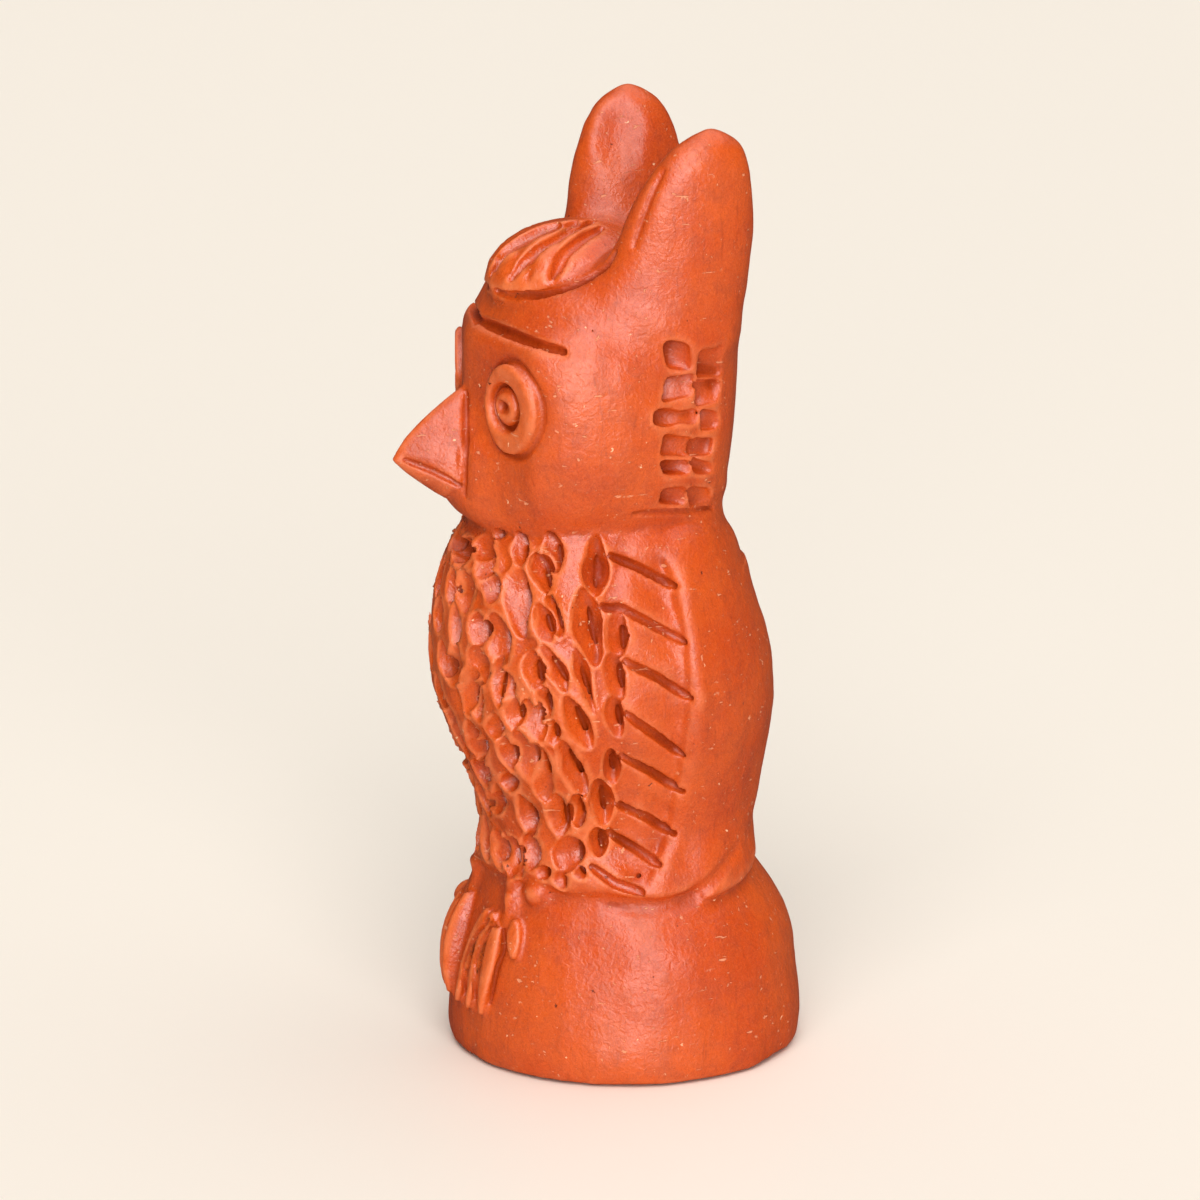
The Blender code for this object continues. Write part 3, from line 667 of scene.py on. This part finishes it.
def press_gouge(clay, skin, spot, length, width):
    """One oval gouge with these half axes, leaning under its right edge, and the slit along it."""
    normal = skin.slope(spot[None])[0]
    length = length - normal * (length @ normal)
    width = width - normal * (width @ normal)
    length = length * min(1, GOUGE_REACH[0] / np.linalg.norm(length))
    width = width * min(1, GOUGE_REACH[1] / np.linalg.norm(width))
    depth = np.clip(GOUGE_ROUND * 2 * np.linalg.norm(width), *GOUGE_DEPTH)
    right = width / np.linalg.norm(width)
    right = right * math.copysign(1, right @ rightward)
    inward = depth * (normal - GOUGE_LEAN * right)
    axes = np.stack([GOUGE_SPREAD * length, GOUGE_SPREAD * width, inward])
    clay.scoop(spot, axes, GOUGE_SOFT, GOUGE_LIP, square=GOUGE_POINT, wobble=wobble)
    share = np.linspace(*SLIT_ENDS, SLIT_POINTS)[:, None]
    slit = skin.settle(spot + share * length + SLIT_ACROSS * np.linalg.norm(width) * right)
    slit = slit - SLIT_DOWN * depth * normal
    clay.groove(slit, *GOUGE_SLIT, taper=1.0, soft=GOUGE_SOFT, lip=0.0)


def gouge_middle(clay, skin):
    """Gouges of the strip of breast that faces forward, by rule."""
    dice = np.random.default_rng(11)

    def about(size, play):
        return size + play * dice.uniform(-1, 1)

    low, high = corners("breast")
    above, below, apart = MIDDLE_ROWS
    spacing, play, start = MIDDLE_TURN
    for row, height in enumerate(np.arange(low[2] + above, high[2] - below, apart)):
        for column in MIDDLE_COLUMNS:
            turn = math.radians(about(spacing * (column + 0.5 * (row % 2)), play) + start)
            across, ahead = math.sin(turn), math.cos(turn)
            level = about(height, MIDDLE_RISE)
            spot = np.array([[MIDDLE_RADIUS * across, -MIDDLE_RADIUS * ahead, level]])
            spot = skin.settle(skin.settle(spot))[0]
            if spot[0] > MIDDLE_END:
                continue
            lean = about(*MIDDLE_LEAN)
            down = np.array([math.sin(lean) * ahead, math.sin(lean) * across, -math.cos(lean)])
            side = np.array([ahead, across, math.tan(lean)])
            length = about(*MIDDLE_LENGTH) * down
            width = about(*MIDDLE_WIDTH) * side / np.linalg.norm(side)
            press_gouge(clay, skin, spot, length, width)


def groove_wings(clay, skin):
    """Draws the flight feathers and what lies under each wing."""
    for pixels in WING_GROOVES:
        path = seen(skin, along(pixels, 9))
        clay.groove(path, *WING_GROOVE)
        clay.groove(mirrored(skin, path), *WING_GROOVE)
    ledge = seen(skin, along(WING_LEDGE, 15))
    crease = seen(skin, along(WING_CREASE, 7))
    for line, groove in ((ledge, WING_LEDGE_GROOVE), (crease, WING_CREASE_GROOVE)):
        width, depth, soft = groove
        for path in (line, mirrored(skin, line)):
            clay.groove(path, width, depth, soft=soft, lip=0.0)


def dent_nape(clay, skin):
    """Presses the square dents of the nape in, each a little askew."""
    dice = np.random.default_rng(5)
    for left, top, right, bottom in NAPE_DENTS:
        middle = np.array([(left + right) / 2, (top + bottom) / 2])
        across = np.array([(right - left) / 2, 0])
        down = np.array([0, (bottom - top) / 2])
        ends = middle + np.stack([0 * across, across, -across, down, -down])
        spots = seen(skin, ends)
        wide = (spots[1] - spots[2]) / 2
        tall = (spots[3] - spots[4]) / 2
        for flip in (np.ones(3), MIRROR):
            spot = skin.settle(spots[:1] * flip)
            normal = skin.slope(spot)[0]
            axes = np.stack([wide * flip, tall * flip, normal * NAPE_DEPTH])
            axes[:2] -= normal * (axes[:2] @ normal)[:, None]
            skew = NAPE_SKEW * dice.uniform(-1, 1)
            axes[0] += skew * axes[1] + NAPE_TILT * dice.uniform(0.2, 1) * normal
            axes[1] += NAPE_TILT * dice.uniform(-0.5, 0.5) * normal
            axes = axes * dice.uniform(1.0, 1.1)
            clay.scoop(spot[0], axes, NAPE_SOFT, square=NAPE_SQUARE, wobble=wobble)


def draw_face(clay, skin):
    """Draws the ledge of the neck, the brows, the root of the beak and the mouth."""
    neck = seen(skin, along(NECK_LEDGE, 9))
    clay.groove(neck, *NECK_LEDGE_GROOVE)
    clay.groove(mirrored(skin, neck), *NECK_LEDGE_GROOVE)
    lines = ((BROW, BROW_GROOVE), (BEAK_ROOT, BEAK_ROOT_GROOVE), (MOUTH, MOUTH_GROOVE))
    for pixels, groove in lines:
        path = seen(skin, along(pixels, 9))
        clay.groove(path, *groove)
        clay.groove(face_mirrored(skin, path), *groove)


def work_crest(clay, skin):
    """Draws the flutes of the crest and undercuts its lip."""
    for pixels in CREST_FLUTES:
        path = seen(skin, along(pixels, 11))
        clay.groove(path, **CREST_FLUTE)
        if path[:, 0].min() > CREST_MIRROR_FROM:
            clay.groove(mirrored(skin, path), **CREST_FLUTE)
    lip = seen(skin, along(CREST_LIP, 20))
    clay.groove(lip, *CREST_LIP_GROOVE)
    clay.groove(mirrored(skin, lip), *CREST_LIP_GROOVE)


def work_ears(clay, skin):
    """Draws the crease of the left ear and presses the dish of the right one."""
    lines = ((EAR_CREASE, EAR_CREASE_GROOVE), (EAR_DISH, EAR_DISH_GROOVE))
    for pixels, (width, depth, soft) in lines:
        path = seen(skin, along(pixels, 12))
        clay.groove(path, width, depth, soft=soft, lip=0.0)


def crease_toes(clay, skin):
    """Parts the toes of the left foot."""
    for pixels in TOE_CREASES:
        path = seen(skin, along(pixels, 12))
        clay.groove(path, *TOE_CREASE)


def hang_lumps(clay, skin):
    """Lumps of clay left under the breast."""
    for column, row, radius in LUMPS:
        centre = seen(skin, np.array([[column, row]], float))
        where, spots = clay.block(centre, radius + LUMP_SMEAR + 1)
        lump = (np.linalg.norm(spots - centre[0], axis=-1) - radius).astype(np.float32)
        clay.values[where] = smooth_least(clay.values[where], lump, LUMP_SMEAR)


def swell_cheeks(clay):
    """Fills the cheeks out."""
    spot = seen(clay, np.array([CHEEK], float))
    height, radius = CHEEK_SWELLING
    for centre in (spot[0], mirrored(clay, spot)[0]):
        where, spots = clay.block(centre[None], CHEEK_REACH * radius)
        away = np.linalg.norm(spots - centre, axis=-1)
        clay.values[where] -= (height * np.exp(-(away / radius) ** 2)).astype(np.float32)


def press_panels(clay):
    """Presses the flat panel of each wing in, up to a rim along its border."""
    columns, rows = np.array(PANEL_BORDER, float).T
    fade_in, fade_out = PANEL_FADE_ROWS
    for node, flip in (("left_wing", 1), ("right_wing", -1)):
        where, spots = clay.block(np.stack(corners(node)), 2.0)
        column, row = pixels_of(spots * np.array([flip, 1, 1]))
        inside = np.interp(row, rows, columns) - column
        level = ease((row - rows[0]) / fade_in) * ease((rows[-1] - row) / fade_out)
        side = ease(spots[..., 0] * flip / PANEL_SIDE - 0.5)
        sunk = PANEL_DEPTH * ease(inside / PANEL_EDGE) * ease((PANEL_FADE - inside) / PANEL_FADE)
        raised = PANEL_RIM * np.exp(-((inside + PANEL_EDGE) / PANEL_EDGE) ** 2)
        clay.values[where] += (sunk - raised) * level * side


def trim_back(clay):
    """Shaves the back of the head to the line it has in the photograph."""
    columns, rows = np.array(BACK_LINE, float).T
    fade_in, fade_out = BACK_FADE_ROWS
    where, spots = clay.block(np.stack(corners("head") + corners("left_ear")), 4.0)
    pixel = np.linalg.norm(base_middle - eye) / FOCAL
    for flip in (1, -1):
        column, row = pixels_of(spots * np.array([flip, 1, 1]))
        beyond = (column - np.interp(row, rows, columns)) * pixel
        level = ease((row - rows[0]) / fade_in) * ease((rows[-1] - row) / fade_out)
        beyond -= BACK_FADE * (1 - level)
        field = clay.values[where]
        near = np.maximum(BACK_SOFT - np.abs(field - beyond), 0)
        clay.values[where] = np.maximum(field, beyond) + near * near / (4 * BACK_SOFT)


def work_eyes(clay, bare):
    """Cuts a groove round each eye's disc and a recess round its button, and pokes the button."""
    for hand in ("left", "right"):
        node = hand + "_eye_ring"
        middle, back, up, front, face = eye_frame(node)
        where, spots = clay.block(np.stack(corners(node)), 2.0)
        away, size = EYE_RIM
        rim = np.hypot(beyond_oval(node, spots) - away, bare.values[where]) - size
        clay.take(where, rim, soft=0.15)
        radius, depth = EYE_RECESS
        button, shift = EYE_BUTTON
        across, rise, height = [(spots - middle) @ way for way in (back, up, front)]
        recess = np.maximum(np.hypot(across, rise) - radius, face - depth - height)
        recess = np.maximum(recess, button - np.hypot(across + shift, rise))
        clay.take(where, recess, soft=0.2)
        radius, depth, shift = EYE_POKE
        axes = np.stack([back * radius, up * radius, front * depth])
        clay.scoop(middle + front * face - back * shift, axes, soft=0.15, lip=0.05)


def sculpted():
    """The finished clay: luted, worked and cut flat at the foot."""
    clay = Clay(grid_low, FINE, refined(luted_masses()))
    press_panels(clay)
    swell_cheeks(clay)
    trim_back(clay)
    bare = Clay(clay.low, FINE, clay.values.copy())
    add_details(clay, bare)
    skin = Clay(clay.low, FINE, clay.values.copy())
    hang_lumps(clay, skin)
    gouge_breast(clay, skin)
    gouge_middle(clay, skin)
    groove_wings(clay, skin)
    dent_nape(clay, skin)
    draw_face(clay, skin)
    work_crest(clay, skin)
    work_ears(clay, skin)
    crease_toes(clay, skin)
    work_eyes(clay, bare)
    heights = clay.low[2] + clay.step * np.arange(clay.values.shape[2])
    clay.values = np.maximum(clay.values, -heights[None, None, :].astype(np.float32))
    return clay


def whole(points, quads):
    """The largest connected part of a surface, without loose crumbs."""
    label = np.arange(len(points))
    while True:
        ends = label[quads]
        least = ends.min(axis=1)
        if (ends == least[:, None]).all():
            break
        for column in ends.T:
            np.minimum.at(label, column, least)
        while (label[label] != label).any():
            label = label[label]
    owner = label[quads[:, 0]]
    kept = owner == np.bincount(owner).argmax()
    used, index = np.unique(quads[kept], return_inverse=True)
    return points[used], index.reshape(-1, 4)


def skin_mesh(name, clay):
    """Mesh, in metres, of the clay's surface."""
    values = np.clip(clay.values, -2, 2)
    grid = openvdb.FloatGrid(2.0)
    grid.transform = openvdb.createLinearTransform(voxelSize=clay.step)
    grid.copyFromArray(values, ijk=tuple(int(k) for k in np.round(clay.low / clay.step)))
    points, quads = whole(*grid.convertToQuads(isovalue=0.0))
    mesh = bpy.data.meshes.new(name)
    mesh.vertices.add(len(points))
    mesh.vertices.foreach_set("co", (points * MM).astype(np.float32).ravel())
    mesh.loops.add(quads.size)
    mesh.loops.foreach_set("vertex_index", quads.astype(np.int32).ravel())
    mesh.polygons.add(len(quads))
    mesh.polygons.foreach_set("loop_start", np.arange(0, quads.size, 4, dtype=np.int32))
    mesh.update(calc_edges=True)
    mesh.validate()
    mesh.shade_smooth()
    return mesh


def tone(red, green, blue):
    """Colour as it reads on screen, 0 to 255, as linear light."""
    def linear(part):
        return part / 12.92 if part < 0.04045 else ((part + 0.055) / 1.055) ** 2.4

    return (*[linear(value / 255) for value in (red, green, blue)], 1)


class Web:
    """Builds the nodes of one material."""

    def __init__(self, name):
        self.material = bpy.data.materials.new(name)
        self.material.use_nodes = True
        self.tree = self.material.node_tree
        self.shader = self.tree.nodes["Principled BSDF"]
        self.place = self.add("ShaderNodeTexCoord").outputs["Object"]

    def feed(self, socket, value):
        """Links a node's output to an input, or sets the input to a plain value."""
        if isinstance(value, bpy.types.NodeSocket):
            self.tree.links.new(value, socket)
        else:
            socket.default_value = value

    def add(self, kind, inputs=None, **settings):
        node = self.tree.nodes.new(kind)
        for name, value in settings.items():
            setattr(node, name, value)
        for name, value in (inputs or {}).items():
            self.feed(node.inputs[name], value)
        return node

    def noise(self, scale, detail=3.0, rough=0.55, place=None, twist=0.0):
        inputs = {"Vector": place or self.place, "Scale": scale, "Detail": detail}
        inputs |= {"Roughness": rough, "Distortion": twist}
        return self.add("ShaderNodeTexNoise", inputs).outputs["Fac"]

    def stretched(self, scale, turn):
        """The object's coordinates, turned and drawn out along one way."""
        inputs = {"Vector": self.place, "Rotation": turn, "Scale": scale}
        return self.add("ShaderNodeMapping", inputs).outputs[0]

    def ramp(self, value, low, high, low_to=0.0, high_to=1.0):
        """Smooth step that runs from one value to another."""
        inputs = {"Value": value, "From Min": low, "From Max": high}
        inputs |= {"To Min": low_to, "To Max": high_to}
        node = self.add("ShaderNodeMapRange", inputs, interpolation_type="SMOOTHSTEP")
        return node.outputs["Result"]

    def reckon(self, operation, first, second):
        node = self.add("ShaderNodeMath", operation=operation)
        self.feed(node.inputs[0], first)
        self.feed(node.inputs[1], second)
        return node.outputs[0]

    def part(self, value, share):
        return self.reckon("MULTIPLY", value, share)

    def blend(self, share, first, second):
        node = self.add("ShaderNodeMix", data_type="RGBA")
        self.feed(node.inputs["Factor"], share)
        self.feed(node.inputs[6], first)
        self.feed(node.inputs[7], second)
        return node.outputs[2]

    def spots(self, scale, size, share):
        """Small round marks, of which only a share shows."""
        noise = self.add("ShaderNodeTexNoise", {"Vector": self.place, "Scale": 2 * scale})
        inputs = {0: noise.outputs["Color"], "Scale": 0.9 / scale}
        wander = self.add("ShaderNodeVectorMath", inputs, operation="SCALE").outputs[0]
        inputs = {0: self.place, 1: wander}
        place = self.add("ShaderNodeVectorMath", inputs, operation="ADD").outputs[0]
        cells = self.add("ShaderNodeTexVoronoi", {"Vector": place, "Scale": scale})
        near = self.ramp(cells.outputs["Distance"], size, 0.55 * size)
        colour = self.add("ShaderNodeSeparateColor", {"Color": cells.outputs["Color"]})
        kept = self.ramp(colour.outputs[0], 1 - share, 1.02 - share)
        return self.reckon("MULTIPLY", near, kept)

    def value(self, attribute):
        """A value stored on the mesh."""
        return self.add("ShaderNodeAttribute", attribute_name=attribute).outputs["Fac"]


def clay_material(name, clay, pale, deep, gloss, wear):
    """Burnished slip: mottled, darker in hollows, partly for slip pooled there and partly as
    painted shade, darker still as painted shade where it lies deep, and paler and dull where it is
    rubbed.
    """
    web = Web(name)
    relief = web.value("relief")
    bed = web.value("bed")
    cloud = web.noise(40.0, 4.0, 0.6)
    mottle = web.noise(230.0, 5.0, 0.62, twist=0.6)
    grain = web.noise(1900.0, 4.0, 0.7)
    strokes = web.stretched((1.0, 1.0, 0.12), (0.5, 0.25, 0.0))
    stroke = web.noise(900.0, 3.0, 0.6, strokes, twist=0.4)
    fibre = web.noise(1300.0, 2.0, 0.5, twist=2.5)
    wrinkle = web.noise(760.0, 2.0, 0.5, twist=0.8)
    one_way = web.stretched((1.0, 0.06, 1.0), (0.3, 0.7, 0.4))
    other_way = web.stretched((0.07, 1.0, 1.0), (0.9, 0.2, 0.8))
    scratch_one = web.ramp(web.noise(900.0, 2.0, 0.5, one_way, twist=0.3), 0.685, 0.71)
    scratch_two = web.ramp(web.noise(820.0, 2.0, 0.5, other_way, twist=0.3), 0.69, 0.715)
    scratch = web.reckon("MAXIMUM", scratch_one, scratch_two)
    scratch = web.reckon("MULTIPLY", scratch, web.ramp(mottle, 0.46, 0.56))
    specks = web.spots(505.0, 0.17, 0.06)
    pits = web.spots(400.0, 0.14, 0.05)
    ridge = web.ramp(relief, 0.17, 0.42)
    ridge = web.reckon("MULTIPLY", ridge, web.ramp(mottle, 0.30, 0.62, 0.35, 1.0))
    hollow = web.ramp(relief, -0.04, -0.55)
    shade = web.ramp(bed, -0.10, -1.5)

    colour = web.blend(web.ramp(cloud, 0.30, 0.70), tone(*clay), tone(*pale))
    layers = (
        (web.ramp(mottle, 0.42, 0.72, 0.0, 0.20), deep),
        (web.ramp(grain, 0.55, 0.80, 0.0, 0.30), pale),
        (web.ramp(fibre, 0.50, 0.64, 0.0, 0.16), FIBRE_TONE),
        (web.ramp(fibre, 0.48, 0.36, 0.0, 0.16), deep),
        (web.ramp(stroke, 0.56, 0.74, 0.0, 0.22), deep),
        # Hollows darken partly for slip pooled in them and partly as painted shade
        (web.part(hollow, 0.50), deep),
        # Painted shade, darker where the clay lies deep below the clay around it
        (web.part(shade, 0.45), deep),
        (web.part(ridge, wear), RUBBED_TONE),
        (web.part(scratch, 0.45), SCRATCH_TONE),
        (web.part(specks, 0.85), SPECK_TONE),
        (web.part(pits, 0.75), PIT_TONE),
    )
    for share, layer in layers:
        colour = web.blend(share, colour, tone(*layer))
    web.feed(web.shader.inputs["Base Color"], colour)

    rough = web.ramp(mottle, 0.30, 0.70, gloss - 0.05, gloss + 0.08)
    dull = web.reckon("MAXIMUM", specks, scratch)
    for value, share in ((hollow, 0.06), (ridge, 0.12), (dull, 0.2)):
        rough = web.reckon("ADD", rough, web.part(value, share))
    web.feed(web.shader.inputs["Roughness"], rough)
    sheen = web.ramp(hollow, 0.2, 1.0, 0.72, 0.16)
    web.feed(web.shader.inputs["Specular IOR Level"], sheen)

    height = web.part(grain, 0.02)
    raised = ((stroke, 0.04), (mottle, 0.16), (wrinkle, 0.19), (fibre, 0.02))
    sunk = ((pits, -0.28), (scratch, -0.10))
    for value, share in raised + sunk:
        height = web.reckon("ADD", height, web.part(value, share))
    inputs = {"Height": height, "Strength": 1.0, "Distance": BUMP_HEIGHT}
    bump = web.add("ShaderNodeBump", inputs)
    web.feed(web.shader.inputs["Normal"], bump.outputs["Normal"])
    return web.material


def add_camera():
    """The camera that took the photograph."""
    data = bpy.data.cameras.new("camera")
    data.sensor_width = SENSOR
    data.lens = FOCAL / PHOTO_SIZE * SENSOR
    data.clip_end = 20
    camera = bpy.data.objects.new("camera", data)
    bpy.context.scene.collection.objects.link(camera)
    camera.location = eye * MM
    camera.rotation_euler = (math.pi / 2 + CAMERA_PITCH, 0, CAMERA_YAW - math.pi / 2)
    bpy.context.scene.camera = camera


def add_lamp(name, azimuth, height, angle, strength):
    """Broad soft light. Azimuth is measured as the camera's is."""
    data = bpy.data.lights.new(name, "SUN")
    data.angle = math.radians(angle)
    data.energy = strength
    lamp = bpy.data.objects.new(name, data)
    bpy.context.scene.collection.objects.link(lamp)
    turn, lift = math.radians(azimuth), math.radians(height)
    flat = math.cos(lift)
    way = Vector((math.sin(turn) * flat, -math.cos(turn) * flat, math.sin(lift)))
    lamp.rotation_euler = (-way).to_track_quat("-Z", "Y").to_euler()


def add_stage():
    """Pale floor, faint daylight and lamps."""
    mesh = bpy.data.meshes.new("floor")
    size = FLOOR_SIZE
    edge = [(-size, -size, 0), (size, -size, 0), (size, size, 0), (-size, size, 0)]
    mesh.from_pydata(edge, [], [(0, 1, 2, 3)])
    floor = bpy.data.objects.new("floor", mesh)
    bpy.context.scene.collection.objects.link(floor)
    web = Web("floor")
    glossy = web.add("ShaderNodeLightPath").outputs["Is Glossy Ray"]
    colour = web.blend(glossy, tone(*FLOOR_TONE), tone(*FLOOR_SHEEN_TONE))
    web.feed(web.shader.inputs["Base Color"], colour)
    web.shader.inputs["Roughness"].default_value = FLOOR_ROUGHNESS
    mesh.materials.append(web.material)
    world = bpy.data.worlds.new("studio")
    bpy.context.scene.world = world
    world.use_nodes = True
    daylight = world.node_tree.nodes["Background"]
    daylight.inputs["Color"].default_value = (1, 1, 1, 1)
    daylight.inputs["Strength"].default_value = WORLD_STRENGTH
    for name, lamp in LAMPS.items():
        add_lamp(name, *lamp)


def mark(mesh):
    """Stores how far each point stands out of, or lies in, the clay around it, and its normal."""
    points = np.empty(len(mesh.vertices) * 3, np.float32)
    mesh.vertices.foreach_get("co", points)
    points = points.reshape(-1, 3) / MM
    for name, field in (("relief", relief), ("bed", bed)):
        attribute = mesh.attributes.new(name, "FLOAT", "POINT")
        attribute.data.foreach_set("value", field.at(points).astype(np.float32))
    mesh.normals_split_custom_set_from_vertices(clay.slope(points))


def nearest_pieces():
    """For each piece of the part, its part of the grid and how far that lies beyond its seams."""
    least = np.full(tuple(grid_count), WIDE_BAND, np.float32)
    second = least.copy()
    found = {}
    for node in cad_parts:
        where, field = node_field(node, COARSE, WIDE_BAND, grid_count)
        if node.endswith("_eye_ring"):
            field = np.maximum(field, beyond_oval(node, spots_of(grid_low, COARSE, where)))
        found[node] = where, field
        second[where] = np.minimum(second[where], np.maximum(least[where], field))
        least[where] = np.minimum(least[where], field)
    for node, (where, field) in found.items():
        rival = np.where(field <= least[where], second[where], least[where])
        yield node, where, (field - rival) / 2


def parted():
    """One closed piece of clay for each piece of the part, dipping under its neighbours."""
    for node, where, beyond in nearest_pieces():
        beyond = refined(beyond)
        fine = tuple(slice(2 * span.start, 2 * span.stop - 1) for span in where)
        values = clay.values[fine] + SEAM_DIP * np.maximum(beyond, 0)
        values = np.maximum(values, beyond - SEAM_LAP)
        for axis in range(3):
            edge = np.moveaxis(values, axis, 0)
            edge[0] = np.maximum(edge[0], FINE)
            edge[-1] = np.maximum(edge[-1], FINE)
        low = clay.low + FINE * np.array([span.start for span in fine])
        yield node, skin_mesh(node, Clay(low, FINE, values))


def dress(node, mesh):
    """Puts a piece of clay in the place of a piece of the part."""
    piece = bpy.data.objects.new("clay_" + node, mesh)
    bpy.context.scene.collection.objects.link(piece)
    thin = piece.modifiers.new("thin", "DECIMATE")
    thin.ratio = min(FACES.get(node, OTHER_FACES) / (2 * len(mesh.polygons)), 1)
    graph = bpy.context.evaluated_depsgraph_get()
    piece.data = bpy.data.meshes.new_from_object(piece.evaluated_get(graph))
    piece.modifiers.clear()
    mark(piece.data)
    slot = FINISH.get(node.removeprefix("left_").removeprefix("right_"), OTHER_FINISH)
    piece.data.materials.append(finishes[slot])
    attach(piece, "root")
    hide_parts(node)


clay = sculpted()
coarse = np.clip(clay.values[::2, ::2, ::2], -RELIEF_LIMIT, RELIEF_LIMIT)
relief = Clay(clay.low, COARSE, blurred(coarse, RELIEF_REACH / COARSE))
bed = Clay(clay.low, COARSE, blurred(coarse, BED_REACH / COARSE))
finishes = {name: clay_material(name, *finish) for name, finish in FINISHES.items()}
for node, mesh in parted():
    dress(node, mesh)

add_camera()
add_stage()
bpy.context.scene.view_settings.view_transform = "Standard"
